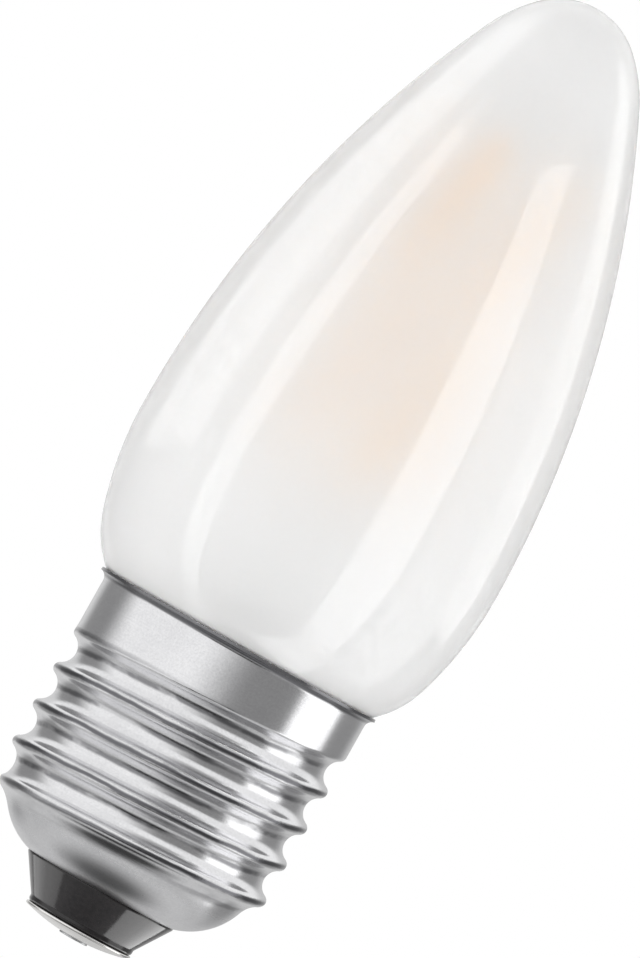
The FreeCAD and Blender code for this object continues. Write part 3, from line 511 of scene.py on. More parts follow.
# Name, two colours, metal, least and most roughness, clouds, grains, bump; then for glass its reach,
# transmission, refraction, coat and sheen.
MILKY_SKIN = Finish("milky_glass", (0.975, 0.975, 0.975), (0.99, 0.99, 0.99), 0.0, 0.74, 0.80,
                    90.0, 2500.0, 0.01, 0.0001, 0.54, 1.45, 0.7, 0.0)
FROSTED_SKIN = Finish("frosted_glass", (0.98, 0.98, 0.98), (0.99, 0.99, 0.99), 0.0, 0.50, 0.56,
                      90.0, 2500.0, 0.02, 0.0001, 1.0, 1.45)
NICKEL = ("nickel_sheet", (0.66, 0.66, 0.675), (0.84, 0.84, 0.85), 1.0, 0.13, 0.24, 260.0, 5200.0, 0.05)
BLACK_GLASS = Finish("black_glass", (0.008, 0.007, 0.008), (0.022, 0.019, 0.02), 0.0, 0.06, 0.16,
                     320.0, 2600.0, 0.05)
CONTACT = Finish("pressed_contact", (0.80, 0.79, 0.77), (0.92, 0.91, 0.89), 1.0, 0.14, 0.24,
                 500.0, 5200.0, 0.12)
SOLDER = Finish("soft_solder", (0.52, 0.53, 0.54), (0.74, 0.74, 0.74), 1.0, 0.28, 0.45,
                900.0, 4200.0, 0.4)
CEMENT = Finish("basing_cement", (0.55, 0.51, 0.44), (0.76, 0.73, 0.66), 0.0, 0.8, 0.95,
                700.0, 5200.0, 0.7)
PHOSPHOR = Finish("phosphor_silicone", (0.84, 0.38, 0.04), (0.94, 0.52, 0.09), 0.0, 0.35, 0.55,
                  500.0, 3800.0, 0.4)

# The nodes that keep their own solid, by finish.
CARRIED = {
    Finish("drawn_glass", (0.93, 0.96, 0.95), (0.96, 0.975, 0.97), 0.0, 0.0, 0.03, 90.0, 2500.0,
           0.02, 0.0001, 1.0, 1.52): ["glass_stem", "exhaust_tube", "support_rod"],
    Finish("white_plastic", (0.80, 0.80, 0.77), (0.88, 0.88, 0.85), 0.0, 0.42, 0.55, 250.0, 3000.0,
           0.1): ["insulating_sleeve"],
    Finish("green_board", (0.04, 0.20, 0.09), (0.08, 0.30, 0.14), 0.0, 0.3, 0.45, 600.0, 3600.0,
           0.2): ["circuit_board"],
    Finish("black_package", (0.028, 0.028, 0.03), (0.05, 0.05, 0.054), 0.0, 0.5, 0.65, 500.0, 6000.0,
           0.4): ["bridge_rectifier", "driver_chip"],
    Finish("drawn_can", (0.55, 0.57, 0.6), (0.68, 0.7, 0.72), 1.0, 0.25, 0.4, 300.0, 4000.0,
           0.1): ["smoothing_capacitor"],
    Finish("ferrite", (0.06, 0.056, 0.052), (0.12, 0.112, 0.105), 0.0, 0.6, 0.8, 900.0, 7000.0,
           0.6): ["choke_core"],
    Finish("copper_winding", (0.5, 0.2, 0.08), (0.78, 0.38, 0.18), 1.0, 0.2, 0.35, 400.0, 5200.0,
           0.3): ["choke_winding"],
    Finish("resistor_lacquer", (0.16, 0.30, 0.23), (0.28, 0.45, 0.36), 0.0, 0.3, 0.5, 600.0, 4200.0,
           0.3): ["fusible_resistor"],
    Finish("bare_wire", (0.6, 0.59, 0.57), (0.78, 0.77, 0.75), 1.0, 0.22, 0.38, 800.0, 5200.0,
           0.1): ["live_wire", "neutral_wire", "lead_wire_1", "lead_wire_2", "foot_bridge_1",
                  "foot_bridge_2", "head_link_1", "head_link_2"],
    Finish("plated_strip", (0.7, 0.68, 0.64), (0.82, 0.8, 0.76), 1.0, 0.2, 0.34, 600.0, 5200.0,
           0.1): [f"light_strip_metal_{number}" for number in range(1, 5)],
}


def settle(piece: Piece, slot: Slot, finishes: list[Finish], *nodes: str) -> None:
    """Dresses a new piece and rides it on the part, in the place of its nodes.

    Args:
        piece: the new object.
        slot: not used.
        finishes: its finishes, in the order of its own slots.
        nodes: the nodes that it stands for.
    """
    for finish in finishes:
        piece.data.materials.append(finish.material())
    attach(piece, "root")
    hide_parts(*nodes)
    log.info("%s: %d faces, for %s", piece.name, len(piece.data.polygons), ", ".join(nodes))


@dataclass
class ScrewCap:
    """The nickel shell with its round bottom, rolled right-hand thread, skirt and flared lip."""

    sheet: float = 0.25
    pitch: float = 25.4 / 7
    crest_r: float = 13.1
    depth: float = 1.15
    crest_round: float = 0.55
    skirt_r: float = 13.02
    skirt_blend: float = 2.0
    hole_z: float = 4.85
    hole_r: float = 6.6
    bowl_round: float = 6.52
    thread_foot: float = 0.55
    fade_in: float = 2.8
    crest_lead: float = 0.4
    turns: float = 3.5
    fade_out: float = 1.64
    skirt_height: float = 1.48
    lip_round: float = 0.75
    lip_turn: float = 80.0
    sharp: float = 50.0
    columns: int = 192
    thread_rows: int = 230
    hem_rows: int = 9

    def __post_init__(self) -> None:
        """Works out where the round bottom, the thread and the lip begin and end."""
        self.root_r = self.crest_r - self.depth
        self.bowl_x = self.root_r - self.bowl_round
        self.bowl_z = self.hole_z + math.sqrt(self.bowl_round**2 - (self.hole_r - self.bowl_x) ** 2)
        self.fade_in_z = self.hole_z + self.thread_foot + self.pitch / 2
        self.crest_z = self.bowl_z - self.crest_lead
        self.fade_out_z = self.crest_z + self.turns * self.pitch
        self.lip_z = self.fade_out_z + self.fade_out + self.pitch / 2 + self.skirt_height

    def drop(self, distance: np.ndarray) -> np.ndarray:
        """Share of the depth below the crest: a crest arc, then a tangent root arc.

        Args:
            distance: height from the nearest crest.

        Returns:
            0 on the crest and 1 in the root.
        """
        half = self.pitch / 2
        root = (half**2 + (self.depth - self.crest_round) ** 2 - self.crest_round**2) / (2 * self.depth)
        meeting = self.crest_round * half / (self.crest_round + root)
        near = self.crest_round - np.sqrt(np.maximum(self.crest_round**2 - distance**2, 0.0))
        far = self.depth - root + np.sqrt(np.maximum(root**2 - (half - distance) ** 2, 0.0))
        return np.where(distance < meeting, near, far) / self.depth

    def radius(self, angle: np.ndarray, z: np.ndarray) -> np.ndarray:
        """Outer radius: the base plus the thread's height where its helix is in force.

        Args:
            angle: angle about the axis.
            z: height.

        Returns:
            The radius at each place.
        """
        below = np.minimum(z - self.bowl_z, 0.0)
        base = self.bowl_x + np.sqrt(self.bowl_round**2 - below**2)
        phase = (z - self.crest_z) / self.pitch - angle / FULL_TURN
        crest = z - (phase - np.round(phase)) * self.pitch
        groove = z - (phase - np.floor(phase) - 0.5) * self.pitch
        skirt = smooth_step(z, self.fade_out_z - self.skirt_blend / 2, self.fade_out_z + self.skirt_blend / 2)
        height = self.depth + (self.skirt_r - self.crest_r) * skirt
        leaving = smooth_step(groove, self.fade_out_z, self.fade_out_z + self.fade_out)
        dip = self.drop(np.abs(z - crest)) * (1 - leaving)
        return base + height * (1 - dip) * smooth_step(crest, self.fade_in_z, self.fade_in_z + self.fade_in)

    def thread_rings(self, rows: int, depth: float) -> np.ndarray:
        """Rings of the threaded stretch, moved inwards along the surface normal by a depth.

        The normal of (r cos a, r sin a, z) is (r cos a + ra sin a, r sin a - ra cos a, -r rz).

        Args:
            rows: number of rings.
            depth: distance inwards in millimetres.

        Returns:
            An array of shape (rows, columns, 3).
        """
        heights = np.linspace(self.hole_z + self.thread_foot, self.lip_z, rows)
        z, angle = np.meshgrid(heights, ring_angles(self.columns), indexing="ij")
        step = 1e-4
        r = self.radius(angle, z)
        by_angle = (self.radius(angle + step, z) - self.radius(angle - step, z)) / (2 * step)
        by_z = (self.radius(angle, z + step) - self.radius(angle, z - step)) / (2 * step)
        cos, sin = np.cos(angle), np.sin(angle)
        normal = np.stack([r * cos + by_angle * sin, r * sin - by_angle * cos, -r * by_z], axis=-1)
        normal /= np.linalg.norm(normal, axis=-1, keepdims=True)
        return np.stack([r * cos, r * sin, z], axis=-1) - normal * depth

    def skin(self, rows: int, depth: float) -> np.ndarray:
        """All rings of one side of the sheet, from the hole to the lip's edge.

        Args:
            rows: rings on the threaded stretch.
            depth: distance inwards in millimetres.

        Returns:
            An array of shape (all rows, columns, 3).
        """
        round_r = self.bowl_round - depth
        hole = fall_angle(self.hole_r - self.bowl_x, round_r)
        join = -math.degrees(math.asin((self.bowl_z - self.hole_z - self.thread_foot) / self.bowl_round))
        bowl = arc_points((self.bowl_x, self.bowl_z), round_r, hole, join, self.hem_rows)[:-1]
        lip = arc_points((self.skirt_r + self.lip_round, self.lip_z), -(self.lip_round + depth), 0.0,
                         -self.lip_turn, self.hem_rows)[1:]
        return np.concatenate([turned_rings(bowl, self.columns), self.thread_rings(rows, depth),
                               turned_rings(lip, self.columns)])

    def build(self) -> None:
        """Makes the shell from its outer and inner skins and dresses it in nickel."""
        outer, inner = self.skin(self.thread_rows, 0.0), self.skin(self.thread_rows // 3, self.sheet)
        piece = ring_object("cap_shell_rolled", np.concatenate([outer, inner[::-1]]), sharp=self.sharp)
        finish = NickelFinish(*NICKEL, crest_z=self.crest_z, pitch=self.pitch)
        settle(piece, Slot.CAP_METAL, [finish], "cap_shell")


@dataclass
class CandleGlass:
    """The blown glass: tangent arcs up and down from the widest ring, milky outside, frosted inside."""

    cap: ScrewCap
    radius: float = 17.55
    wall: float = 0.8
    upper_r: float = 99.0
    upper_turn: float = 25.9
    shoulder_r: float = 14.2
    shoulder_turn: float = 45.8
    lower_r: float = 32.5
    lower_turn: float = 18.0
    knuckle_r: float = 9.5
    neck_round: float = 4.84
    rim_gap: float = 0.5
    neck_gap: float = 0.4
    foot_z: float = 17.6
    foot_rows: int = 8
    columns: int = 192
    arc_rows: int = 26

    def __post_init__(self) -> None:
        """Works out the centre, radius and end angles of each arc of the outer glass, from neck to tip."""
        neck_x = self.cap.root_r - self.cap.sheet - self.neck_gap + self.neck_round
        seat = neck_x - (self.cap.skirt_r - self.cap.sheet - self.rim_gap)
        self.neck = (neck_x, self.cap.lip_z - math.sqrt(self.neck_round**2 - seat**2))
        low = math.radians(self.lower_turn)
        knuckle_x = self.radius - self.lower_r + (self.lower_r - self.knuckle_r) * math.cos(low)
        turn = math.acos((neck_x - knuckle_x) / (self.neck_round + self.knuckle_r))
        knuckle_z = self.neck[1] + (self.neck_round + self.knuckle_r) * math.sin(turn)
        self.belly_z = knuckle_z + (self.lower_r - self.knuckle_r) * math.sin(low)
        high, far = math.radians(self.upper_turn), math.radians(self.shoulder_turn)
        upper_x = self.radius - self.upper_r
        shoulder = (upper_x + (self.upper_r - self.shoulder_r) * math.cos(high),
                    self.belly_z + (self.upper_r - self.shoulder_r) * math.sin(high))
        tip_round = shoulder[0] / math.cos(far) + self.shoulder_r
        tip_z = shoulder[1] - (tip_round - self.shoulder_r) * math.sin(far)
        self.top_z = tip_z + tip_round
        degrees = math.degrees(turn)
        self.arcs = [
            (self.neck, -self.neck_round, 0.0, -degrees),
            ((knuckle_x, knuckle_z), self.knuckle_r, -degrees, -self.lower_turn),
            ((self.radius - self.lower_r, self.belly_z), self.lower_r, -self.lower_turn, 0.0),
            ((upper_x, self.belly_z), self.upper_r, 0.0, self.upper_turn),
            (shoulder, self.shoulder_r, self.upper_turn, self.shoulder_turn),
            ((0.0, tip_z), tip_round, self.shoulder_turn, 90.0),
        ]

    def outline(self, depth: float) -> np.ndarray:
        """Profile of one side of the glass, from the neck's foot to the tip.

        Args:
            depth: distance inwards from the outer glass.

        Returns:
            An array of (r, z) rows.
        """
        parts = [arc_points(centre, radius - depth, start, end, self.arc_rows)[1:]
                 for centre, radius, start, end in self.arcs]
        foot = np.column_stack([np.full(self.foot_rows, self.neck[0] - self.neck_round - depth),
                                np.linspace(self.foot_z, self.neck[1], self.foot_rows)])
        return np.vstack([foot, *parts])

    def build(self) -> Piece:
        """Makes the closed skin, gives each side its finish, and returns the glass."""
        outer, inner = self.outline(0.0), self.outline(self.wall)
        rings = turned_rings(np.vstack([outer[:-1][::-1], inner[:-1]]), self.columns)
        piece = ring_object("candle_glass", rings, [[0.0, 0.0, outer[-1][1]], [0.0, 0.0, inner[-1][1]]])
        settle(piece, Slot.CLEAR_GLASS, [MILKY_SKIN, FROSTED_SKIN], "glass_envelope")
        rows = len(outer) - 1
        quads = (2 * rows - 1) * self.columns
        index = np.zeros(len(piece.data.polygons), np.int32)
        index[rows * self.columns:quads] = 1
        index[quads + self.columns:] = 1
        piece.data.polygons.foreach_set("material_index", index)
        return piece


@dataclass
class CapEnd:
    """The black glass insulator, the end contact and its solder."""

    cap: ScrewCap
    seat: float = 0.02
    land_r: float = 1.3
    land_height: float = 0.1
    sheet: float = 0.3
    rise: float = 0.7
    hole_r: float = 0.7
    foot_inset: float = 1.5
    foot_margin: float = 0.04
    foot_lift: float = 0.2
    foot_land: float = 0.35
    shoulder_lap: float = 0.6
    flange_inset: float = 2.35
    edge_round: float = 0.12
    insulator_hole_r: float = 1.6
    well_r: float = 3.0
    well_rise: float = 0.55
    drop_r: float = 0.15
    drop_round: float = 0.08
    drop_foot: float = 0.02
    drop_top_r: float = 0.2
    wander_from: float = 0.05
    columns: int = 128

    def __post_init__(self) -> None:
        """Works out the foot, the plate's edge, and the centre and radius of its lower face."""
        self.foot_r = self.cap.hole_r - self.foot_inset
        self.contact_r = self.foot_r - self.foot_margin
        self.dome_r = (self.contact_r**2 + self.rise**2) / (2 * self.rise)
        self.centre = (0.0, self.land_height + self.dome_r)

    def insulator(self) -> Piece:
        """Turns the black glass with small rounds on its press-moulded edges, and returns it."""
        cap, bowl = self.cap, (self.cap.bowl_x, self.cap.bowl_z)
        top_r, lap = cap.hole_r + self.shoulder_lap, cap.hole_r - self.seat
        foot = low_arc(self.centre, self.dome_r - self.sheet - self.seat, self.insulator_hole_r,
                       self.contact_r - self.sheet / 2, 14)
        under = low_arc(bowl, cap.bowl_round + self.seat, top_r, lap, 6)
        over = low_arc(bowl, cap.bowl_round - cap.sheet - self.seat, lap, cap.root_r - self.flange_inset, 12)
        foot_z = self.land_height + self.rise + self.sheet + self.foot_lift
        side = rounded([tuple(foot[-1]), (self.foot_r, foot_z), (self.foot_r, foot_z + self.foot_land),
                        (top_r, cap.hole_z), tuple(under[0])], self.edge_round)[1:-1]
        well_z = cap.hole_z + self.well_rise
        well = [(self.well_r, well_z), (self.insulator_hole_r, well_z)]
        rings = turned_rings(np.vstack([foot, side, under, over, well]), self.columns)
        piece = ring_object("insulator_black_glass", rings)
        settle(piece, Slot.BLACK_GLASS, [BLACK_GLASS], "cap_insulator")
        return piece

    def plate(self) -> None:
        """Turns the domed plate with its rolled edge."""
        inside, rim = self.dome_r - self.sheet, fall_angle(self.contact_r, self.dome_r)
        lower = low_arc(self.centre, self.dome_r, self.hole_r, self.contact_r, 24)
        rim_centre = arc_points(self.centre, self.dome_r - self.sheet / 2, rim, rim, 1)[0]
        edge = arc_points(tuple(rim_centre), self.sheet / 2, rim, rim + 180, 9)[1:-1]
        upper = arc_points(self.centre, inside, rim, fall_angle(self.hole_r, inside), 24)
        rings = turned_rings(np.vstack([lower, edge, upper]), self.columns)
        settle(ring_object("contact_plate", rings), Slot.CONTACT_METAL, [CONTACT], "centre_contact")

    def on_dome(self, r: np.ndarray) -> np.ndarray:
        """Height of the plate's face, with the seat's gap, at a distance from the axis."""
        return self.centre[1] - np.sqrt((self.dome_r + self.seat) ** 2 - r**2)

    def solder(self) -> None:
        """Turns the solder drop, whose edge wanders a little where it ran out on the plate.

        The edge's radius falls by 0.03 (1 + sin 3a) / 2 + 0.02 (1 + sin(5a + 1)) / 2 of itself, so it
        stays inside the land's own ring.
        """
        edge_r, neck_r = self.land_r + self.land_height, self.hole_r - self.seat
        top = self.land_height + self.sheet + self.seat
        flat = np.column_stack([np.linspace(self.drop_r, self.land_r, 8), np.zeros(8)])
        side = rounded([(self.land_r, 0.0), (edge_r, self.drop_foot), (edge_r, self.on_dome(edge_r))],
                       self.drop_round)[1:]
        inwards = np.linspace(edge_r, neck_r, 6)[1:]
        seat_line = np.column_stack([inwards, self.on_dome(inwards)])
        profile = np.vstack([flat, side, seat_line, [(neck_r, top), (self.drop_top_r, top)]])
        rings = turned_rings(profile, self.columns)
        angle = ring_angles(self.columns)
        wander = 1 - 0.03 * (1 + np.sin(3 * angle)) / 2 - 0.02 * (1 + np.sin(5 * angle + 1)) / 2
        outer = profile[:, :1] > neck_r + self.wander_from
        rings[..., :2] *= np.where(outer, wander, 1.0)[..., None]
        piece = ring_object("contact_solder_drop", rings, [[0.0, 0.0, 0.0], [0.0, 0.0, top]])
        settle(piece, Slot.SOLDER, [SOLDER], "contact_solder")

    def build(self) -> Piece:
        """Makes the three pieces at the cap's end and returns the insulator, so that cards can light it
        alone.
        """
        self.plate()
        self.solder()
        return self.insulator()


@dataclass
class LightStrips:
    """Four upright strips: a rounded phosphor coat with a row of faint swellings over its chips."""

    glass: CandleGlass
    count: int = 4
    rise: float = 2.8
    tip_room: float = 13.84
    head_gap: float = 3.84
    width: float = 1.9
    thick: float = 1.5
    swelling: float = 0.02
    chips: int = 28
    first_bearing: float = -75.0
    twist: float = 63.0
    squareness: float = 3.2
    columns: int = 24
    rows: int = 224

    def ends(self, index: int) -> list[np.ndarray]:
        """Foot and head of a strip's coat, in millimetres.

        Args:
            index: which strip.

        Returns:
            The two end points.
        """
        glass, top_z = self.glass, self.glass.top_z - self.tip_room
        inside = math.sqrt(glass.upper_r**2 - (top_z - glass.belly_z) ** 2) + glass.radius - glass.upper_r
        ring = inside - glass.wall - self.head_gap
        bearing = math.radians(self.first_bearing + index * 360 / self.count)
        places = ((bearing, glass.belly_z + self.rise), (bearing + math.radians(self.twist), top_z))
        return [np.array([ring * math.sin(turn), -ring * math.cos(turn), z]) for turn, z in places]

    def coat(self, index: int) -> None:
        """Carries a rounded section along the strip.

        The section is a superellipse, |x/a|^n + |y/b|^n = 1. Its half sizes a and b are full along
        the strip, swell by a cosine over each chip, and fall as a quarter circle at both ends.

        Args:
            index: which strip.
        """
        foot, head = self.ends(index)
        run = head - foot
        length = np.linalg.norm(run)
        run = run / length
        middle = (foot + head) / 2
        side = np.cross(run, [middle[0], middle[1], 0.0])
        side /= np.linalg.norm(side)
        out = np.cross(side, run)
        along = (1 - np.cos(np.linspace(0, np.pi, self.rows + 2)[1:-1])) / 2 * length
        from_end = np.minimum(along, length - along) / (self.thick / 2)
        full = np.sqrt(np.clip(1 - (1 - np.minimum(from_end, 1.0)) ** 2, 0.0, 1.0))
        wave = 1 - self.swelling * (1 + np.cos(along / length * self.chips * FULL_TURN)) / 2
        angle = ring_angles(self.columns)
        cos, sin = np.cos(angle), np.sin(angle)
        power = 2 / self.squareness
        x = np.sign(cos) * np.abs(cos) ** power * self.width / 2
        y = np.sign(sin) * np.abs(sin) ** power * self.thick / 2
        size = (full * wave)[:, None, None]
        rings = foot + along[:, None, None] * run + size * (x[:, None] * side + y[:, None] * out)
        piece = ring_object(f"strip_coat_{index + 1}", rings, [foot.tolist(), head.tolist()])
        settle(piece, Slot.PHOSPHOR, [PHOSPHOR], f"light_strip_coat_{index + 1}")

    def build(self) -> None:
        """Makes every strip's coat."""
        for index in range(self.count):
            self.coat(index)


@dataclass
class Basing:
    """The cement ring between the skirt and the glass, with a poured uneven top."""

    glass: CandleGlass
    seat: float = 0.02
    sink: float = 0.2
    depth: float = 1.7
    sag: float = 0.12
    columns: int = 128

    def build(self) -> None:
        """Turns the ring and lets its top wander.

        The lid sinks by sag times (1 + 0.5 sin 4a + 0.3 sin 9a), fully in the middle of the gap and
        by a half sine towards both sides.
        """
        glass, cap = self.glass, self.glass.cap
        top = cap.lip_z - self.sink
        heights = np.linspace(top, top - self.depth, 14)
        reach = np.sqrt((glass.neck_round - self.seat) ** 2 - (heights - glass.neck[1]) ** 2)
        inside = np.column_stack([glass.neck[0] - reach, heights])
        outer_r = cap.skirt_r - cap.sheet - self.seat
        outside = np.column_stack([np.full(8, outer_r), np.linspace(top - self.depth, top, 8)])
        across = np.linspace(outer_r, inside[0][0], 7)[1:-1]
        profile = np.vstack([inside, outside, np.column_stack([across, np.full(len(across), top)])])
        rings = turned_rings(profile, self.columns)
        angle = ring_angles(self.columns)
        middle = np.zeros(len(profile))
        middle[-len(across):] = np.sin(np.linspace(0, np.pi, len(across) + 2)[1:-1])
        rings[..., 2] -= middle[:, None] * self.sag * (1 + 0.5 * np.sin(4 * angle) + 0.3 * np.sin(9 * angle))
        settle(ring_object("cement_ring", rings), Slot.CEMENT, [CEMENT], "basing_cement")


class Carried:
    """The pieces that keep their own solid and only get a finish."""

    def build(self) -> None:
        """Gives each node its finish, with one material for all that share it."""
        for finish, nodes in CARRIED.items():
            for node in nodes:
                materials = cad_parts[node].data.materials
                materials.clear()
                materials.append(finish.material())
                log.info("%s: %s", node, finish.name)


@dataclass(frozen=True)
class Softbox:
    """A lit card that faces the bulb, by its place round it and the brightness it shows."""

    name: str
    bearing: float
    rise: float
    distance: float
    width: float
    height: float
    radiance: float


@dataclass(frozen=True)
class FloorCard:
    """A lit card that lies near the floor and faces up, by its centre and its brightness."""

    name: str
    x: float
    y: float
    width: float
    height: float
    radiance: float
    bearing: float = 0.0


GLASS_CARDS = [
    Softbox("right_strip", 44.4, 13.0, 100.0, 51.0, 193.0, 3.3),
    Softbox("left_strip", -54.5, 8.6, 100.0, 24.3, 184.0, 2.6),
    Softbox("left_wall", -94.0, 292.0, 520.0, 190.0, 636.0, 1.8),
    Softbox("left_wall_end", -115.5, 279.0, 520.0, 205.0, 662.0, 1.4),
    Softbox("edge_strip", 117.5, 160.0, 520.0, 212.0, 900.0, 1.7),
]
FILL_CARDS = [
    Softbox("fill_front", 0.0, 60.0, 400.0, 300.0, 400.0, 0.08),
    Softbox("fill_back", 180.0, 40.0, 400.0, 300.0, 400.0, 0.08),
]
FLOOR_FILLS = [
    FloorCard("low_fill_front", 0.0, -80.0, 90.0, 60.0, 2.6),
    FloorCard("low_fill_right", 80.0, 0.0, 60.0, 90.0, 0.4),
    FloorCard("low_fill_back", 0.0, 80.0, 90.0, 60.0, 1.6),
    FloorCard("low_fill_left", -80.0, 0.0, 60.0, 90.0, 0.4),
]
FLOOR_STRIPS = [
    FloorCard("right_strip_foot", 46.0, -38.6, 46.0, 72.0, 2.8, 50.0),
    FloorCard("left_strip_foot", -50.9, -31.8, 22.0, 72.0, 2.0, -58.0),
]
FLOOR_CARDS = [
    FloorCard("floor_card_right", 60.0, 37.0, 62.0, 106.0, 2.6),
    FloorCard("floor_card_left", -66.0, 37.0, 60.0, 106.0, 1.1),
]


@dataclass
class Studio:
    """Camera, cards, floor and surroundings."""

    centre_x: float = -0.883
    centre_z: float = 45.38
    frame_height: float = 83.3
    roll: float = 29.37
    camera_distance: float = 1200.0
    sensor: float = 36.0
    floor_z: float = -40.0
    floor_start: float = 20.0
    floor_r: float = 520.0
    floor_thick: float = 4.0
    floor_tone: float = 0.9
    card_lift: float = 1.5
    daylight: float = 0.87
    # Start and end height in degrees, brightness there, and the share of the level by bearing that it keeps.
    overhead: tuple[tuple[float, float, float, float], ...] = (
        (16.0, 24.0, 1.0, 0.0), (50.0, 62.0, 0.22, 0.7), (66.0, 88.0, 0.2, 0.3))
    # Brightness that the floor shows in gloss, by distance from the axis as a share of a decimetre: a painted
    # shadow of the bulb near the axis, a bright ring, then a painted dark ring.
    floor_rings: tuple[tuple[float, float], ...] = (
        (0.14, 0.05), (0.32, 0.66), (0.52, 0.66), (0.60, 0.03), (0.84, 0.03), (0.90, 0.0))

    def camera(self) -> None:
        """Sets the camera level in front, rolled so that the tip leans to the right."""
        data = bpy.data.cameras.new("photo_camera")
        data.sensor_width = self.sensor
        data.lens = self.sensor * self.camera_distance / self.frame_height
        camera = bpy.data.objects.new("photo_camera", data)
        turn = math.radians(self.roll)
        right = Vector((math.cos(turn), 0.0, math.sin(turn)))
        up = Vector((-math.sin(turn), 0.0, math.cos(turn)))
        back = Vector((0.0, -1.0, 0.0))
        place = Vector((self.centre_x, -self.camera_distance, self.centre_z)) * MM
        camera.matrix_world = Matrix.Translation(place) @ Matrix((right, up, back)).transposed().to_4x4()
        bpy.context.scene.collection.objects.link(camera)
        bpy.context.scene.camera = camera

    def card(self, card: Softbox | FloorCard, receiver: Piece, mirrored: bool = True) -> None:
        """Hangs one lit card and says which piece it lights. Its energy is radiance times pi times its area.

        Args:
            card: the card.
            receiver: the piece that it lights or shows in.
            mirrored: whether it only shows in the piece's gloss, or else only lights it.
        """
        data = bpy.data.lights.new(card.name, "AREA")
        data.shape = "RECTANGLE"
        data.size, data.size_y = card.width * MM, card.height * MM
        data.energy = card.radiance * math.pi * data.size * data.size_y
        lamp = bpy.data.objects.new(card.name, data)
        turn = math.radians(card.bearing)
        if isinstance(card, FloorCard):
            lamp.location = Vector((card.x, card.y, self.floor_z + self.card_lift)) * MM
            lamp.rotation_euler = (math.pi, 0.0, turn)
        else:
            out = Vector((math.sin(turn), -math.cos(turn), 0.0))
            lamp.location = (out * card.distance + Vector((0.0, 0.0, self.centre_z + card.rise))) * MM
            lamp.rotation_euler = out.to_track_quat("Z", "Y").to_euler()
        lamp.visible_camera = False
        lamp.visible_diffuse = not mirrored
        lamp.visible_glossy = mirrored
        bpy.context.scene.collection.objects.link(lamp)
        lit = bpy.data.collections.new(f"lit_by_{card.name}")
        lit.objects.link(receiver)
        lamp.light_linking.receiver_collection = lit

    def mirrored_floor(self, tree: Tree, place: Socket, out: Socket) -> Socket:
        """What the floor shows in gloss: painted rings near the axis, dark at the middle as a painted shadow
        of the bulb, with painted light on its open sides, and the studio's level farther out.

        Args:
            tree: the floor's material.
            place: Object coordinates.
            out: distance from the axis in metres.

        Returns:
            The level.
        """
        ramp = tree.add("ValToRGB", Fac=tree.span(out, 0.0, 0.1, 0.0, 1.0))
        stops = ramp.color_ramp.elements
        stops[1].position, stops[1].color = 1.0, (0.0, 0.0, 0.0, 1.0)
        for index, (position, level) in enumerate(self.floor_rings):
            stop = stops[0] if index == 0 else stops.new(position)
            stop.position, stop.color = position, (level, level, level, 1.0)
        # Painted light: the floor shows brighter behind the bulb and to both sides, where nothing hides it.
        x, y, _ = tree.parts(place)
        behind = tree.span(y, 0.0, 0.04, 0.0, 1.0)
        left, right = tree.span(x, -0.05, -0.02, 1.0, 0.0), tree.span(x, 0.03, 0.05, 0.0, 1.0)
        open_side = tree.math("MAXIMUM", behind, tree.math("MAXIMUM", left, right))
        open_side_light = tree.math("MULTIPLY", tree.span(out, 0.04, 0.06, 0.0, 0.6), open_side)
        studio = tree.add("Group", node_tree=studio_group(), Vector=place)
        return tree.blend(tree.span(out, 0.082, 0.09, 0.0, 1.0), tree.math("MAXIMUM", ramp, open_side_light), studio)

    def floor(self) -> None:
        """A round pale floor below the bulb, worked out as rings about the axis.

        The camera sees it nearly white, and white at its rim. Gloss sees the painted studio.
        """
        radii = np.linspace(self.floor_start, self.floor_r, 12)
        under = self.floor_z - self.floor_thick
        profile = np.vstack([np.column_stack([radii, np.full(12, self.floor_z)]),
                             np.column_stack([radii[::-1], np.full(12, under)])])
        piece = ring_object("pale_floor", turned_rings(profile, 96),
                            [[0.0, 0.0, self.floor_z], [0.0, 0.0, under]])
        material, tree, shader = new_material("pale_floor")
        tree.put(shader, "Base Color", (*[self.floor_tone] * 3, 1.0))
        tree.put(shader, "Roughness", 0.9)
        place = tree.add("TexCoord").outputs["Object"]
        level = tree.stretched(place, (1.0, 1.0, 0.0))
        out = tree.add("VectorMath", operation="LENGTH", _0=level).outputs["Value"]
        mirrored = tree.add("Emission", Strength=self.mirrored_floor(tree, place, out))
        path = tree.add("LightPath").outputs
        seen = tree.math("MULTIPLY", path["Is Camera Ray"], tree.span(out, 0.12, 0.45, 0.6, 1.0))
        both = tree.add("MixShader", _0=seen, _1=shader, _2=tree.add("Emission", Strength=1.0))
        gloss = tree.math("SUBTRACT", path["Is Glossy Ray"], path["Is Transmission Ray"], clamp=True)
        whole = tree.add("MixShader", _0=gloss, _1=both, _2=mirrored)
        tree.put(tree.tree.nodes["Material Output"], "Surface", whole)
        piece.data.materials.append(material)

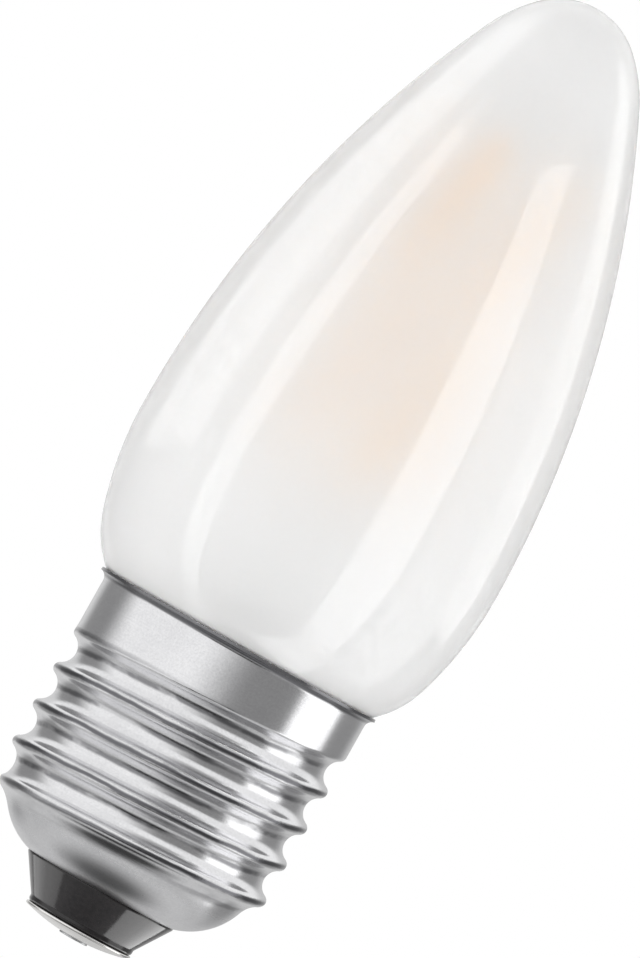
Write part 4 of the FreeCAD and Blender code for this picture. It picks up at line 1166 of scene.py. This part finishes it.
    def surroundings(self) -> None:
        """White all round for the camera and through the glass, and a studio for reflections.

        The studio is its level by bearing, with a lit band overhead and a grey ceiling above that.
        """
        world = bpy.data.worlds.new("pale_studio")
        bpy.context.scene.world = world
        world.use_nodes = True
        tree = Tree(world.node_tree)
        direction = tree.add("TexCoord").outputs["Generated"]
        height = tree.parts(direction)[2]
        level = by_bearing = tree.add("Group", node_tree=studio_group(), Vector=direction).outputs[0]
        for start, end, value, kept in self.overhead:
            low, high = math.sin(math.radians(start)), math.sin(math.radians(end))
            share = tree.span(height, low, high, 0.0, 1.0, Ramp.SMOOTH)
            level = tree.blend(share, level, tree.math("MULTIPLY_ADD", by_bearing, kept, value))
        studio = tree.add("CombineColor", Red=level, Green=level, Blue=level).outputs[0]
        path = tree.add("LightPath").outputs
        plain = tree.mix(path["Is Glossy Ray"], (self.daylight,) * 3, studio)
        open_way = tree.math("MAXIMUM", path["Is Camera Ray"], path["Is Transmission Ray"])
        light = tree.add("Background", Color=tree.mix(open_way, plain, (1.0, 1.0, 1.0)), Strength=1.0)
        tree.add("OutputWorld", Surface=light)

    def build(self, glass: Piece, insulator: Piece) -> None:
        """Sets the camera, the floor, the surroundings and every card.

        Args:
            glass: the bulb's glass.
            insulator: the black glass at the cap's end.
        """
        self.camera()
        self.floor()
        self.surroundings()
        for card in [*GLASS_CARDS, *FLOOR_STRIPS]:
            self.card(card, glass)
        for card in [*FILL_CARDS, *FLOOR_FILLS]:
            self.card(card, glass, mirrored=False)
        for card in FLOOR_CARDS:
            self.card(card, insulator)
        bpy.context.scene.view_settings.view_transform = "Standard"


def main() -> None:
    """Builds each sub-assembly, then the studio round it."""
    logging.basicConfig(level=logging.INFO, format="%(name)s: %(message)s")
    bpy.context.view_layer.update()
    cap = ScrewCap()
    cap.build()
    glass = CandleGlass(cap)
    envelope = glass.build()
    insulator = CapEnd(cap).build()
    LightStrips(glass).build()
    Basing(glass).build()
    Carried().build()
    Studio().build(envelope, insulator)


if __name__ == "__main__":
    main()
